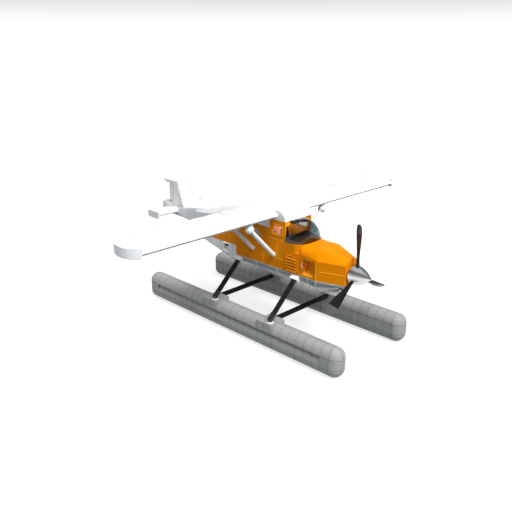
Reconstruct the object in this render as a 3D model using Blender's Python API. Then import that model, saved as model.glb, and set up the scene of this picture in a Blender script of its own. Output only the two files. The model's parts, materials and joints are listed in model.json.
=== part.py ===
"""A high-wing floatplane on block-built floats, modelled at full size in metres.

Shapes are drawn in modules, the pitch of the blocks that the floats are built from. X runs forward,
Y to the aircraft's left and Z up. Station 0 is the floats' bow seam, height 0 the top of their
middle row. to_metres moves them to the row's frame, with its origin on the floor under the middle.
"""

import math

import bmesh
import bpy
from mathutils import Matrix, Vector

# Driving dimensions, in metres
MODULE = 0.30
GAP_M = 0.0003
CLEARANCE_M = 0.007

# The same in modules
GAP = GAP_M / MODULE
CLEAR = CLEARANCE_M / MODULE
MIDSHIP = 15.0
KEEL = -2.0

# Floats
FLOAT_Y = 5.0
FLOAT_BOW = 1.0
FLOAT_STERN = -27.0
FLOAT_STEP = 1.0
RAIL_FRONT = -1.0
RAIL_REAR = -25.0
DECK_BLOCKS = ((-7.0, -9.0), (-15.0, -17.0))
KEEL_FLAT = 0.2

# Fuselage
HALF_WIDTH = 2.0
BELLY_BOTTOM = 4.0
SIDE_BOTTOM = 5.0
SIDE_TOP = 10.0
CABIN_FRONT = -9.0
CABIN_REAR = -16.0
WALL = 0.2
FLOOR_TOP = 5.17
SCUTTLE_FRONT = -7.0
SCUTTLE_TOP = 8.0
COWL_FRONT = -2.2
COWL_WALL = 0.15
AFT_PANEL_REAR = -20.0
AFT_PANEL_BOTTOM = 6.0
AFT_PANEL_TOP = 8.2
TAIL_END = -31.0

# Doors, windows and louvres
DOOR_FRONT = -13.9
DOOR_REAR = -15.85
DOOR_BOTTOM = 5.3
DOOR_TOP = 9.6
WINDOW_FRONT = -9.35
WINDOW_REAR = -10.75
WINDOW_BOTTOM = 8.5
WINDOW_TOP = 9.5
PORTHOLE_X = -12.94
PORTHOLE_Z = 8.06
PORTHOLE_RADIUS = 0.62
POCKET_REAR = -6.75
POCKET_FRONT = -5.07
POCKET_BOTTOM = 5.15
POCKET_TOP = 6.92
LOUVRE_FRONT = -7.2
LOUVRE_REAR = -8.88
LOUVRE_BOTTOM = 5.16
LOUVRE_TOP = 6.83

# Wing
WING_FRONT = -9.95
WING_REAR = -14.0
WING_UNDERSIDE = 10.15
WING_TOP = 11.0
CENTRE_HALF_SPAN = 2.5
PANEL_TIP = 18.0
WING_TIP = 19.05
FLAP_SPAN = (6.3, 10.6)
AILERON_SPAN = (10.9, 17.2)
SURFACE_HINGE = -13.05
SURFACE_HINGE_Z = 10.62

# Hinges
PIN_RADIUS = 0.08
TUBE_RADIUS = 0.12
DOOR_AXIS = (-13.87, 2.1)
DOOR_KNUCKLES = ((5.5, 5.66, 5.94, 6.0), (8.6, 8.76, 9.0, 9.08))

# Struts
LEG_STATIONS = {"front": -7.5, "rear": -15.5}
LEG_FOOT_Y = 5.6
LEG_ELBOW = (5.45, 1.42)
LEG_TOP = (2.2, 4.45)
SPREADER_STATIONS = {"front": -8.2, "rear": -16.4}
SPREADER_Z = 0.68
ROD_RADIUS = 0.25
WING_STRUT_STATIONS = {"front": -10.45, "rear": -13.38}
STRUT_FOOT_Z = 6.38
STRUT_BALL_Y = 5.41
STRUT_BALL_Z = 9.68

# Propeller
SHAFT_Z = 6.0
SPINNER_BASE = -2.05
SPINNER_TIP = 0.04
SPINNER_RADIUS = 0.97
BLADE_X = -1.6
BLADE_LENGTH = 4.98
BLADE_ANGLES = (91.0, 211.0, 331.0)

# Tail
FIN_HALF_WIDTH = 1.0
RUDDER_HINGE = -28.9
STABILISER_FRONT = -27.0
STABILISER_REAR = -28.35
STABILISER_Z = (7.25, 7.75)
STABILISER_SPAN = 4.0
ELEVATOR_HINGE = -28.6
ELEVATOR_REAR = -29.4
ELEVATOR_Z = 7.5

SIDES = {"right": -1.0, "left": 1.0}

COLOURS = {
    "orange paint": ((0.95, 0.30, 0.01), 0.35, 0.0),
    "white paint": ((0.85, 0.86, 0.87), 0.35, 0.0),
    "keel grey": ((0.42, 0.47, 0.52), 0.45, 0.0),
    "float grey": ((0.33, 0.33, 0.33), 0.5, 0.0),
    "black steel": ((0.02, 0.02, 0.025), 0.4, 0.2),
    "chrome": ((0.75, 0.75, 0.77), 0.12, 1.0),
    "smoked glass": ((0.03, 0.09, 0.11), 0.08, 0.0),
    "black leather": ((0.03, 0.03, 0.035), 0.6, 0.0),
    "cast metal": ((0.35, 0.35, 0.36), 0.5, 0.8),
}


def to_metres():
    """The matrix that takes modules to metres in the row's frame."""
    scale = Matrix.Scale(MODULE, 4)
    return scale @ Matrix.Translation((MIDSHIP, 0.0, -KEEL))


def place(x, y, z):
    """A point given in modules, in metres."""
    return to_metres() @ Vector((x, y, z))


def material(name):
    """The plain material of that name, made once."""
    found = bpy.data.materials.get(name)
    if found:
        return found
    colour, roughness, metallic = COLOURS[name]
    made = bpy.data.materials.new(name)
    made.use_nodes = True
    shader = made.node_tree.nodes["Principled BSDF"]
    shader.inputs["Base Color"].default_value = (*colour, 1.0)
    shader.inputs["Roughness"].default_value = roughness
    shader.inputs["Metallic"].default_value = metallic
    made.diffuse_color = (*colour, 1.0)
    return made


def arc(centre, radius, start, end, steps):
    """Points of an arc as (u, v) pairs, angles in degrees."""
    points = []
    for i in range(steps + 1):
        angle = math.radians(start + (end - start) * i / steps)
        points.append((centre[0] + radius * math.cos(angle), centre[1] + radius * math.sin(angle)))
    return points


def loft(rings):
    """A closed solid through rings of equal point count; its two ends are flat faces."""
    bm = bmesh.new()
    rows = [[bm.verts.new(point) for point in ring] for ring in rings]
    count = len(rings[0])
    for near, far in zip(rows, rows[1:]):
        for i in range(count):
            j = (i + 1) % count
            bm.faces.new((near[i], near[j], far[j], far[i]))
    bm.faces.new(list(reversed(rows[0])))
    bm.faces.new(rows[-1])
    bmesh.ops.remove_doubles(bm, verts=bm.verts, dist=1e-5)
    bmesh.ops.recalc_face_normals(bm, faces=bm.faces)
    return bm


def prism(outline, axis, low, high):
    """An outline swept along an axis. Its pairs are YZ for axis X, XZ for Y and XY for Z."""
    def point(pair, along):
        if axis == "X":
            return (along, pair[0], pair[1])
        if axis == "Y":
            return (pair[0], along, pair[1])
        return (pair[0], pair[1], along)
    return loft([[point(pair, low) for pair in outline], [point(pair, high) for pair in outline]])


def box(low, high):
    """A box between two corners."""
    outline = [(low[0], low[1]), (high[0], low[1]), (high[0], high[1]), (low[0], high[1])]
    return prism(outline, "Z", low[2], high[2])


def rod(start, end, radius, sides=16, end_radius=None):
    """A round bar, or a cone where end_radius is given."""
    start, end = Vector(start), Vector(end)
    turn = (end - start).to_track_quat("Z", "Y").to_matrix()
    rings = []
    for centre, size in ((start, radius), (end, radius if end_radius is None else end_radius)):
        flat = arc((0.0, 0.0), size, 0.0, 360.0 * (sides - 1) / sides, sides - 1)
        rings.append([tuple(centre + turn @ Vector((u, v, 0.0))) for u, v in flat])
    return loft(rings)


def fluted_rod(start, end, radius, arm=0.4):
    """A bar with a cross section of four ribs, arm being a rib's width over the bar's."""
    start, end = Vector(start), Vector(end)
    turn = (end - start).to_track_quat("Z", "Y").to_matrix()
    half = radius * arm
    quarter = [(radius, -half), (radius, half), (half, half)]
    flat = []
    for i in range(4):
        spin = Matrix.Rotation(math.radians(90.0 * i), 2)
        flat += [tuple(spin @ Vector(pair)) for pair in quarter]
    rings = []
    for centre in (start, end):
        rings.append([tuple(centre + turn @ Vector((u, v, 0.0))) for u, v in flat])
    return loft(rings)


def turned(profile, centre, axis, sides):
    """A solid turned about an axis through centre; profile holds (along, radius) pairs."""
    rings = []
    for along, radius in profile:
        flat = arc((0.0, 0.0), max(radius, 1e-4), 0.0, 360.0 * (sides - 1) / sides, sides - 1)
        if axis == "X":
            rings.append([(along, centre[0] + u, centre[1] + v) for u, v in flat])
        elif axis == "Y":
            rings.append([(centre[0] + u, along, centre[1] + v) for u, v in flat])
        else:
            rings.append([(centre[0] + u, centre[1] + v, along) for u, v in flat])
    return loft(rings)


def pin(start, end, radius):
    """A hinge pin."""
    return rod(start, end, radius, 24)


def pin_hole(start, end, radius):
    """The tool for a hole that the pin turns in without touching."""
    return rod(start, end, (radius + 0.5 * GAP) / math.cos(math.pi / 24), 24)


def ball(centre, radius, sides=16, rows=8):
    """A ball with flat poles up and down."""
    profile = []
    for i in range(1, rows):
        angle = math.pi * i / rows
        profile.append((centre[2] - radius * math.cos(angle), radius * math.sin(angle)))
    return turned(profile, (centre[0], centre[1]), "Z", sides)


def node(name, bm, finish, pivot=None, smooth=False):
    """An object made of a solid drawn in modules, its origin at pivot where one is given."""
    mesh = bpy.data.meshes.new(name)
    bmesh.ops.recalc_face_normals(bm, faces=bm.faces)
    bm.to_mesh(mesh)
    bm.free()
    origin = place(*pivot) if pivot else Vector((0.0, 0.0, 0.0))
    mesh.transform(Matrix.Translation(-origin) @ to_metres())
    mesh.materials.append(material(finish))
    made = bpy.data.objects.new(name, mesh)
    made.location = origin
    bpy.context.scene.collection.objects.link(made)
    if smooth:
        mesh.shade_smooth()
        mesh.set_sharp_from_angle(angle=math.radians(35.0))
    return made


def shape(target, bm, operation):
    """Adds a solid to an object, or cuts it away, with a Boolean that stays live."""
    tool = node(f"{target.name}_tool_{len(target.modifiers)}", bm, "float grey")
    tool.hide_render = True
    tool.display_type = "WIRE"
    tool.hide_set(True)
    modifier = target.modifiers.new("shape", "BOOLEAN")
    modifier.operation = operation
    modifier.solver = "EXACT"
    modifier.object = tool


def cut(target, bm):
    shape(target, bm, "DIFFERENCE")


def join(target, bm):
    shape(target, bm, "UNION")


# Floats: a stadium section, square deck blocks under the legs and a recessed rail outboard

def float_section(kind, side, scale=1.0):
    """The section's points from inboard round the top, outboard and under the keel."""
    inboard = [(-1.0, -1.0), (-1.0, -0.6), (-1.0, -0.3), (-1.0, 0.0)]
    if kind == "block":
        top = [(-1.0, 0.4), (-1.0, 0.7), (-1.0, 1.0), (-0.5, 1.0), (0.0, 1.0), (0.5, 1.0),
               (1.0, 1.0), (1.0, 0.7), (1.0, 0.4)]
    else:
        top = [(-u, v) for u, v in arc((0.0, 0.0), 1.0, 0.0, 180.0, 10)][1:-1]
    if kind == "round" or scale < 1.0:
        rail = [(1.0, 0.0), (1.0, -0.02), (1.0, -0.25), (1.0, -0.6), (1.0, -1.0)]
    else:
        rail = [(1.0, 0.0), (0.66, -0.02), (0.80, -0.25), (0.94, -0.6), (1.0, -1.0)]
    under = [(u, v - 1.0) for u, v in arc((0.0, 0.0), 1.0, 0.0, -72.0, 4)][1:]
    under += [(KEEL_FLAT, -2.0), (-KEEL_FLAT, -2.0)]
    under += [(-u, v - 1.0) for u, v in arc((0.0, 0.0), 1.0, -72.0, -18.0, 3)]
    points = []
    for y, z in inboard + top + rail + under:
        if z > 0.0:
            z = z * scale
        elif z < -1.0:
            z = -1.0 + (z + 1.0) * scale
        points.append((side * (FLOAT_Y + y * scale), z))
    return points


def float_body(name, side):
    rings = []

    def station(x, kind, scale=1.0):
        rings.append([(x, y, z) for y, z in float_section(kind, side, scale)])

    rounding = (85.0, 70.0, 55.0, 40.0, 20.0)
    station(FLOAT_BOW, "round", math.cos(math.radians(rounding[0])))
    for angle in rounding[1:]:
        station(math.sin(math.radians(angle)) * FLOAT_STEP, "round", math.cos(math.radians(angle)))
    station(0.0, "round")
    station(RAIL_FRONT, "round")
    station(RAIL_FRONT, "rail")
    for front, rear in DECK_BLOCKS:
        station(front, "rail")
        station(front, "block")
        station(rear, "block")
        station(rear, "rail")
    station(RAIL_REAR, "rail")
    station(RAIL_REAR, "round")
    rear_seam = FLOAT_STERN + FLOAT_STEP
    station(rear_seam, "round")
    for angle in reversed(rounding[1:]):
        station(rear_seam - math.sin(math.radians(angle)), "round", math.cos(math.radians(angle)))
    station(FLOAT_STERN, "round", math.cos(math.radians(rounding[0])))
    node(name, loft(rings), "float grey", smooth=True)


def float_leg(name, x, side):
    """One black leg: foot and socket on the deck block, then a fluted rod up to the keel's lug."""
    foot_y = side * LEG_FOOT_Y
    elbow = Vector((x, side * LEG_ELBOW[0], LEG_ELBOW[1]))
    top = Vector((x, side * LEG_TOP[0], LEG_TOP[1]))
    along = (top - elbow).normalized()
    leg = node(name, rod((x, foot_y, 1.0 + GAP), (x, foot_y, 1.12), 0.36, 18), "black steel", smooth=True)
    join(leg, rod((x, foot_y, 1.06), (x, foot_y - side * 0.07, 1.38), 0.27, 18))
    join(leg, rod(elbow - along * 0.22, elbow + along * 0.5, 0.29, 14))
    join(leg, fluted_rod(elbow + along * 0.2, top - along * GAP, ROD_RADIUS))


def spreader(name, x):
    reach = FLOAT_Y - 1.0 - 2.0 * GAP
    node(name, fluted_rod((x, -reach, SPREADER_Z), (x, reach, SPREADER_Z), ROD_RADIUS), "black steel")


# Fuselage

def keel():
    """The grey belly from the cabin's rear wall to the chin under the nose."""
    table = (
        # station, half width, bottom, chine radius
        (CABIN_REAR + GAP, 2.0, 4.0, 1.0),
        (-5.0, 2.0, 4.0, 1.0),
        (-3.6, 1.54, 4.3, 0.68),
        (-2.3, 1.1, 4.8, 0.19),
    )
    rings = []
    for x, half, bottom, radius in table:
        left = arc((half - radius, SIDE_BOTTOM - GAP), radius, 0.0, -90.0, 6)
        left = [(y, bottom + (z - SIDE_BOTTOM + GAP + radius) * (SIDE_BOTTOM - GAP - bottom) / radius)
                for y, z in left]
        right = [(-y, z) for y, z in reversed(left)]
        rings.append([(x, y, z) for y, z in left + right])
    made = node("belly_keel", loft(rings), "keel grey", smooth=True)
    rise = Vector((LEG_ELBOW[0] - LEG_TOP[0], LEG_TOP[1] - LEG_ELBOW[1])).normalized()
    for x in LEG_STATIONS.values():
        for side in SIDES.values():
            lug = [(1.4, 4.9), (2.1, 4.9), (LEG_TOP[0] + 0.3 * rise[1], LEG_TOP[1] + 0.3 * rise[0]),
                   (LEG_TOP[0] - 0.3 * rise[1], LEG_TOP[1] - 0.3 * rise[0]), (1.4, 4.3)]
            join(made, prism([(side * y, z) for y, z in lug], "X", x - 0.45, x + 0.45))


def cabin():
    """Floor and side walls, with their window and door openings."""
    inner = HALF_WIDTH - WALL - GAP
    floor = box((CABIN_REAR + GAP, -inner, SIDE_BOTTOM), (CABIN_FRONT - GAP, inner, FLOOR_TOP))
    node("cabin_floor", floor, "cast metal")
    for name, side in SIDES.items():
        outer_y = side * HALF_WIDTH
        inner_y = side * (HALF_WIDTH - WALL)
        low = min(outer_y, inner_y)
        high = max(outer_y, inner_y)
        outline = [(CABIN_REAR + GAP, SIDE_BOTTOM), (CABIN_FRONT - GAP, SIDE_BOTTOM),
                   (CABIN_FRONT - GAP, SIDE_TOP), (CABIN_REAR, SIDE_TOP), (AFT_PANEL_REAR, AFT_PANEL_TOP),
                   (AFT_PANEL_REAR, AFT_PANEL_BOTTOM), (CABIN_REAR + GAP, AFT_PANEL_BOTTOM)]
        wall = node(f"cabin_side_{name}", prism(outline, "Y", low, high), "orange paint")
        cut(wall, box((DOOR_REAR - CLEAR, low - 1.0, DOOR_BOTTOM - CLEAR),
                      (DOOR_FRONT + CLEAR, high + 1.0, DOOR_TOP + CLEAR)))
        cut(wall, box((WINDOW_REAR, low - 1.0, WINDOW_BOTTOM), (WINDOW_FRONT, high + 1.0, WINDOW_TOP)))
        hole = arc((PORTHOLE_X, PORTHOLE_Z), PORTHOLE_RADIUS, 0.0, 345.0, 23)
        cut(wall, prism(hole, "Y", low - 1.0, high + 1.0))
        axis_x, axis_y = DOOR_AXIS[0], side * DOOR_AXIS[1]
        leaf = box((DOOR_REAR, low, DOOR_BOTTOM), (DOOR_FRONT, high, DOOR_TOP))
        door = node(f"cabin_door_{name}", leaf, "orange paint", pivot=(axis_x, axis_y, DOOR_BOTTOM))
        root, tip = sorted((side * (HALF_WIDTH - 0.05), side * (HALF_WIDTH + 0.13)))
        for bottom, middle, upper, top in DOOR_KNUCKLES:
            join(door, rod((axis_x, axis_y, middle), (axis_x, axis_y, upper), 0.07, 16))
            strap = [(-14.17, 1.95), (-13.92, 1.95), (-13.92, 2.03), (-13.87, 2.04), (-13.87, 2.13),
                     (-14.17, 2.13)]
            join(door, prism([(x, side * y) for x, y in strap], "Z", middle, upper))
            for start, end in ((bottom, middle - GAP), (upper + GAP, top + 0.08)):
                join(wall, rod((axis_x, axis_y, start), (axis_x, axis_y, end), 0.07, 16))
                join(wall, box((axis_x, root, start), (axis_x + 0.22, tip, end)))
        pane_low = side * (HALF_WIDTH - 0.12)
        pane_high = side * (HALF_WIDTH - 0.06)
        pane = box((WINDOW_REAR + GAP, min(pane_low, pane_high), WINDOW_BOTTOM + GAP),
                   (WINDOW_FRONT - GAP, max(pane_low, pane_high), WINDOW_TOP - GAP))
        node(f"side_window_{name}", pane, "smoked glass")
        disc = arc((PORTHOLE_X, PORTHOLE_Z), PORTHOLE_RADIUS - 2.0 * GAP, 0.0, 345.0, 23)
        node(f"round_window_{name}", prism(disc, "Y", min(pane_low, pane_high), max(pane_low, pane_high)),
             "smoked glass")


def scuttle():
    """The block under the windscreen, with a footwell and a louvred panel on each side."""
    half = HALF_WIDTH
    outline = [(CABIN_FRONT, -half)]
    outline += arc((SCUTTLE_FRONT - 1.0, -half + 1.0), 1.0, -90.0, 0.0, 8)
    outline += arc((SCUTTLE_FRONT - 1.0, half - 1.0), 1.0, 0.0, 90.0, 8)
    outline += [(CABIN_FRONT, half)]
    upper = prism(outline, "Z", 6.6, SCUTTLE_TOP)
    made = node("cockpit_scuttle", upper, "orange paint")
    square = [(CABIN_FRONT, -half), (SCUTTLE_FRONT, -half), (SCUTTLE_FRONT, half), (CABIN_FRONT, half)]
    join(made, prism(square, "Z", SIDE_BOTTOM, 7.2))
    cut(made, box((CABIN_FRONT - 1.0, -1.6, FLOOR_TOP), (SCUTTLE_FRONT - 0.5, 1.6, 7.3)))
    for side in SIDES.values():
        low = min(side * (half - 0.1), side * (half + 0.05))
        high = max(side * (half - 0.1), side * (half + 0.05))
        join(made, box((LOUVRE_REAR, low, LOUVRE_BOTTOM), (LOUVRE_FRONT, high, LOUVRE_TOP)))
        pitch = (LOUVRE_TOP - LOUVRE_BOTTOM) / 5.5
        for i in range(5):
            z = LOUVRE_BOTTOM + pitch * (0.45 + i)
            lip = [(side * (half - 0.05), z), (side * (half + 0.17), z),
                   (side * (half + 0.03), z + 0.6 * pitch), (side * (half - 0.05), z + 0.6 * pitch)]
            join(made, prism(lip, "X", LOUVRE_REAR + 0.2, LOUVRE_FRONT - 0.2))


COWL_SECTIONS = (
    # station, half width, side top, shoulder half width, top, roundness of the shoulder
    (-7.0, 2.0, 7.2, 1.2, 8.0, 1.0),
    (-5.0, 2.0, 7.0, 1.31, 8.0, 0.35),
    (-4.75, 1.92, 7.0, 1.24, 8.0, 0.0),
    (-2.2, 1.06, 6.98, 0.42, 7.5, -1.0),
)


def cowl_ring(row, inset, x):
    """One section of the cowl, inset towards its inside."""
    half, side_top, shoulder, top, roundness = row[1:]
    half = half - inset
    bottom = SIDE_BOTTOM + inset
    top = top - inset
    shoulder = shoulder - inset * 0.5
    left = [(half, bottom), (half, (bottom + side_top) / 2.0), (half, side_top)]
    for i in range(1, 4):
        t = math.radians(22.5 * i)
        flat = i / 4.0 if roundness >= 0.0 else i / 40.0
        y_round = shoulder + (half - shoulder) * math.cos(t)
        z_round = side_top + (top - side_top) * math.sin(t)
        y_flat = half + (shoulder - half) * flat
        z_flat = side_top + (top - side_top) * flat
        blend = max(roundness, 0.0)
        left.append((y_flat + (y_round - y_flat) * blend, z_flat + (z_round - z_flat) * blend))
    left.append((shoulder, top))
    right = [(-y, z) for y, z in reversed(left)]
    return [(x, y, z) for y, z in left + right]


def engine_cowl():
    """The hollow cowl from the scuttle to the spinner, open behind and round the shaft."""
    outer = [cowl_ring(row, 0.0, row[0]) for row in COWL_SECTIONS]
    outer[0] = [(SCUTTLE_FRONT + GAP, y, z) for x, y, z in outer[0]]
    made = node("engine_cowl", loft(outer), "orange paint", smooth=True)
    inner = [cowl_ring(row, COWL_WALL, row[0]) for row in COWL_SECTIONS]
    inner[0] = [(SCUTTLE_FRONT - 0.5, y, z) for x, y, z in inner[0]]
    inner[-1] = [(COWL_FRONT - COWL_WALL, y, z) for x, y, z in inner[-1]]
    cut(made, loft(inner))
    cut(made, rod((COWL_FRONT - 1.0, 0.0, SHAFT_Z), (COWL_FRONT + 1.0, 0.0, SHAFT_Z), 0.45, 24))
    for name, side in SIDES.items():
        cut(made, box((POCKET_REAR, min(side * 1.2, side * 2.5), POCKET_BOTTOM),
                      (POCKET_FRONT, max(side * 1.2, side * 2.5), POCKET_TOP)))
        middle = (side * 2.0, (POCKET_BOTTOM + POCKET_TOP) / 2.0)
        radius = (POCKET_TOP - POCKET_BOTTOM) / 2.0 - GAP
        inside = arc(middle, radius, 90.0, 270.0, 12) if side > 0 else arc(middle, radius, 90.0, -90.0, 12)
        outside = [(middle[0] + (y - middle[0]) * 0.88, middle[1] + (z - middle[1]) * 0.88)
                   for y, z in reversed(inside)]
        scoop = prism(inside + outside, "X", POCKET_REAR + GAP, POCKET_FRONT - GAP)
        back = prism(inside, "X", POCKET_REAR + GAP, POCKET_REAR + 0.1)
        piece = node(f"exhaust_scoop_{name}", scoop, "orange paint", smooth=True)
        join(piece, back)


def windscreen():
    """A smoked dome, flat on top, its rim on the scuttle and on the cabin's front edge."""
    thickness = 0.06
    levels = (8.0, 8.4, 8.8, 9.2, 9.5, 9.75, 9.92, 10.0)
    columns = 20

    def rings(inset):
        made = []
        for level in levels:
            rise = (level - 8.0) / 2.2
            half = HALF_WIDTH * math.sqrt(1.0 - rise ** 2) - inset
            depth = 2.0 * math.sqrt(1.0 - rise ** 3) - inset
            power = 3.2 - 1.1 * (level - 8.0) / 2.0
            height = max(SCUTTLE_TOP + GAP, min(level, SIDE_TOP - GAP - inset))
            ring = []
            for i in range(columns + 1):
                angle = math.pi * (i / columns - 0.5)
                y = math.copysign(abs(math.sin(angle)) ** (2.0 / power), angle) * half
                x = abs(math.cos(angle)) ** (2.0 / power) * depth if 0 < i < columns else 0.0
                ring.append((CABIN_FRONT + GAP + x, y, height))
            made.append(ring)
        last = made[-1]
        made.append([(CABIN_FRONT + GAP, y, z) for x, y, z in last])
        return made

    bm = bmesh.new()
    grids = []
    for inset in (0.0, thickness):
        grids.append([[bm.verts.new(point) for point in ring] for ring in rings(inset)])
    outer, inner = grids
    for grid, flip in ((outer, False), (inner, True)):
        for near, far in zip(grid, grid[1:]):
            for i in range(columns):
                face = (near[i], near[i + 1], far[i + 1], far[i])
                bm.faces.new(tuple(reversed(face)) if flip else face)
    for i in range(columns):
        bm.faces.new((outer[0][i + 1], outer[0][i], inner[0][i], inner[0][i + 1]))
        bm.faces.new((outer[-1][i], outer[-1][i + 1], inner[-1][i + 1], inner[-1][i]))
    for k in range(len(outer) - 1):
        bm.faces.new((outer[k][0], outer[k + 1][0], inner[k + 1][0], inner[k][0]))
        bm.faces.new((outer[k + 1][-1], outer[k][-1], inner[k][-1], inner[k + 1][-1]))
    bmesh.ops.remove_doubles(bm, verts=bm.verts, dist=1e-5)
    bmesh.ops.dissolve_degenerate(bm, edges=bm.edges, dist=1e-5)
    node("windscreen", bm, "smoked glass", smooth=True)


TAIL_SECTIONS = (
    # station, half width, bottom, side bottom, side top, top, top half width
    (-16.0, 2.0, 4.0, 4.5, 10.0, 10.52, 1.2),
    (-17.0, 2.0, 4.05, 4.42, 9.675, 10.28, 1.15),
    (-18.0, 2.0, 4.3, 4.75, 9.35, 10.04, 1.1),
    (-20.0, 2.0, 4.85, 5.2, 8.7, 9.55, 1.0),
    (-21.6, 1.8, 5.1, 5.45, 8.45, 9.17, 0.95),
    (-23.3, 1.45, 5.7, 6.1, 8.15, 8.76, 0.9),
    (-25.0, 1.04, 6.5, 6.82, 7.9, 8.35, 0.8),
    (-26.1, 1.0, 6.65, 6.9, 7.8, 8.1, 0.8),
    (-29.6, 0.95, 6.7, 6.95, 7.85, 8.1, 0.7),
    (-30.5, 0.7, 6.8, 7.0, 7.8, 8.0, 0.5),
    (-31.0, 0.25, 6.95, 7.1, 7.7, 7.9, 0.15),
)


def tail_cone():
    """The white rear fuselage, solid, with a shelf on each side for the orange panel's aft end."""
    rings = []
    for x, half, bottom, side_bottom, side_top, top, top_half in TAIL_SECTIONS:
        left = [(0.55 * half, bottom), (0.87 * half, bottom + 0.35 * (side_bottom - bottom)),
                (half, side_bottom), (half, side_top),
                ((half + top_half) / 2.0 + 0.12 * (half - top_half), (side_top + top) / 2.0 + 0.1),
                (top_half, top)]
        right = [(-y, z) for y, z in reversed(left)]
        rings.append([(x, y, z) for y, z in left + right])
    made = node("tail_cone", loft(rings), "white paint", smooth=True)
    shelf = [(CABIN_REAR + 1.0, AFT_PANEL_BOTTOM - GAP), (AFT_PANEL_REAR - GAP, AFT_PANEL_BOTTOM - GAP),
             (AFT_PANEL_REAR - GAP, AFT_PANEL_TOP + 2.0 * GAP), (CABIN_REAR, SIDE_TOP + 2.0 * GAP),
             (CABIN_REAR + 1.0, SIDE_TOP + 2.0 * GAP)]
    slot = [(STABILISER_FRONT + GAP, STABILISER_Z[0] - GAP), (STABILISER_FRONT + GAP, STABILISER_Z[1] + GAP),
            (STABILISER_REAR - GAP, STABILISER_Z[1] + GAP), (STABILISER_REAR - GAP, STABILISER_Z[0] - GAP)]
    cut(made, prism(slot, "Y", -2.0, 2.0))
    for side in SIDES.values():
        low, high = sorted((side * (HALF_WIDTH - WALL - GAP), side * (HALF_WIDTH + 1.0)))
        cut(made, prism(shelf, "Y", low, high))
        low, high = sorted((side * (HALF_WIDTH - 0.1), side * (HALF_WIDTH + 0.12)))
        join(made, box((-18.0, low, 4.85), (-17.0, high, AFT_PANEL_BOTTOM - 0.1)))
    cut(made, pin_hole((ELEVATOR_HINGE, -2.0, ELEVATOR_Z), (ELEVATOR_HINGE, 2.0, ELEVATOR_Z), TUBE_RADIUS))
    cut(made, pin_hole((RUDDER_HINGE, 0.0, 7.94), (RUDDER_HINGE, 0.0, 9.0), PIN_RADIUS))
    deck = []
    for x, side_top, top in ((WING_REAR - GAP, 10.3, 10.95), (CABIN_REAR + GAP, 10.02, 10.52)):
        left = [(HALF_WIDTH, SIDE_TOP + GAP), (HALF_WIDTH, side_top),
                (1.7, (side_top + top) / 2.0 + 0.1), (1.2, top)]
        right = [(-y, z) for y, z in reversed(left)]
        deck.append([(x, y, z) for y, z in left + right])
    node("rear_deck", loft(deck), "white paint", smooth=True)


# Wing

def wing_outline(rear, upper, lower):
    """The wing's section from the rear edge over the top to the nose and back underneath."""
    return [(rear, lower), (rear, upper), (-12.6, 11.0), (-11.4, 11.0), (-10.7, 10.92), (-10.25, 10.76),
            (-10.02, 10.58), (-9.95, 10.42), (-10.0, 10.27), (-10.15, 10.18), (-10.5, 10.15), (-12.4, 10.15)]


def wing():
    full = wing_outline(WING_REAR, 10.88, 10.62)
    short = wing_outline(SURFACE_HINGE + 0.32, 10.97, 10.3)
    half = HALF_WIDTH
    roof = [(WING_REAR, 10.4), (WING_REAR, 11.0)]
    roof += arc((CABIN_FRONT - 1.0, SIDE_TOP + GAP), 1.0, 90.0, 0.0, 8)
    roof += [(WING_REAR, SIDE_TOP + GAP)]
    centre = node("wing_centre", prism(roof, "Y", -half, half), "white paint", smooth=True)
    outer = CENTRE_HALF_SPAN - GAP
    join(centre, prism(full, "Y", -outer, outer))
    for side in SIDES.values():
        low, high = sorted((side * (half + GAP), side * (half + 0.12)))
        join(centre, box((-13.5, low, 9.1), (-11.03, high, 10.3)))
    for name, side in SIDES.items():
        rings = []
        # span stations in pairs where the rear edge steps in for a flap or an aileron
        for y, outline in ((CENTRE_HALF_SPAN, full), (FLAP_SPAN[0] - CLEAR, full),
                           (FLAP_SPAN[0] - CLEAR, short), (FLAP_SPAN[1] + CLEAR, short),
                           (FLAP_SPAN[1] + CLEAR, full),
                           (AILERON_SPAN[0] - CLEAR, full), (AILERON_SPAN[0] - CLEAR, short),
                           (AILERON_SPAN[1] + CLEAR, short), (AILERON_SPAN[1] + CLEAR, full),
                           (PANEL_TIP, full)):
            rings.append([(x, side * y, z) for x, z in outline])
        panel = node(f"wing_{name}", loft(rings), "white paint", smooth=True)
        tip = [(-10.0, PANEL_TIP - 0.02)]
        tip += [(-10.25, 18.35), (-10.6, 18.75), (-11.2, 19.0), (-12.0, WING_TIP), (-12.8, 18.85),
                (-13.5, 18.45), (WING_REAR, PANEL_TIP - 0.02)]
        join(panel, prism([(x, side * y) for x, y in tip], "Z", 10.02, WING_TOP))
        for kind, span in (("flap", FLAP_SPAN), ("aileron", AILERON_SPAN)):
            nose = arc((SURFACE_HINGE, SURFACE_HINGE_Z), 0.27, 60.0, 300.0, 8)
            nose = [(2.0 * SURFACE_HINGE - x, z) for x, z in nose]
            section = nose + [(WING_REAR, 10.62), (WING_REAR, 10.88)]
            pivot = (SURFACE_HINGE, side * span[0], SURFACE_HINGE_Z)
            low, high = sorted((side * span[0], side * span[1]))
            surface = node(f"{kind}_{name}", prism(section, "Y", low, high), "white paint", pivot=pivot,
                           smooth=True)
            hinge_low = (SURFACE_HINGE, low - 0.12, SURFACE_HINGE_Z)
            hinge_high = (SURFACE_HINGE, high + 0.12, SURFACE_HINGE_Z)
            join(surface, pin(hinge_low, hinge_high, PIN_RADIUS))
            cut(panel, pin_hole((SURFACE_HINGE, low - 0.13, SURFACE_HINGE_Z),
                                (SURFACE_HINGE, high + 0.13, SURFACE_HINGE_Z), PIN_RADIUS))


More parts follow.
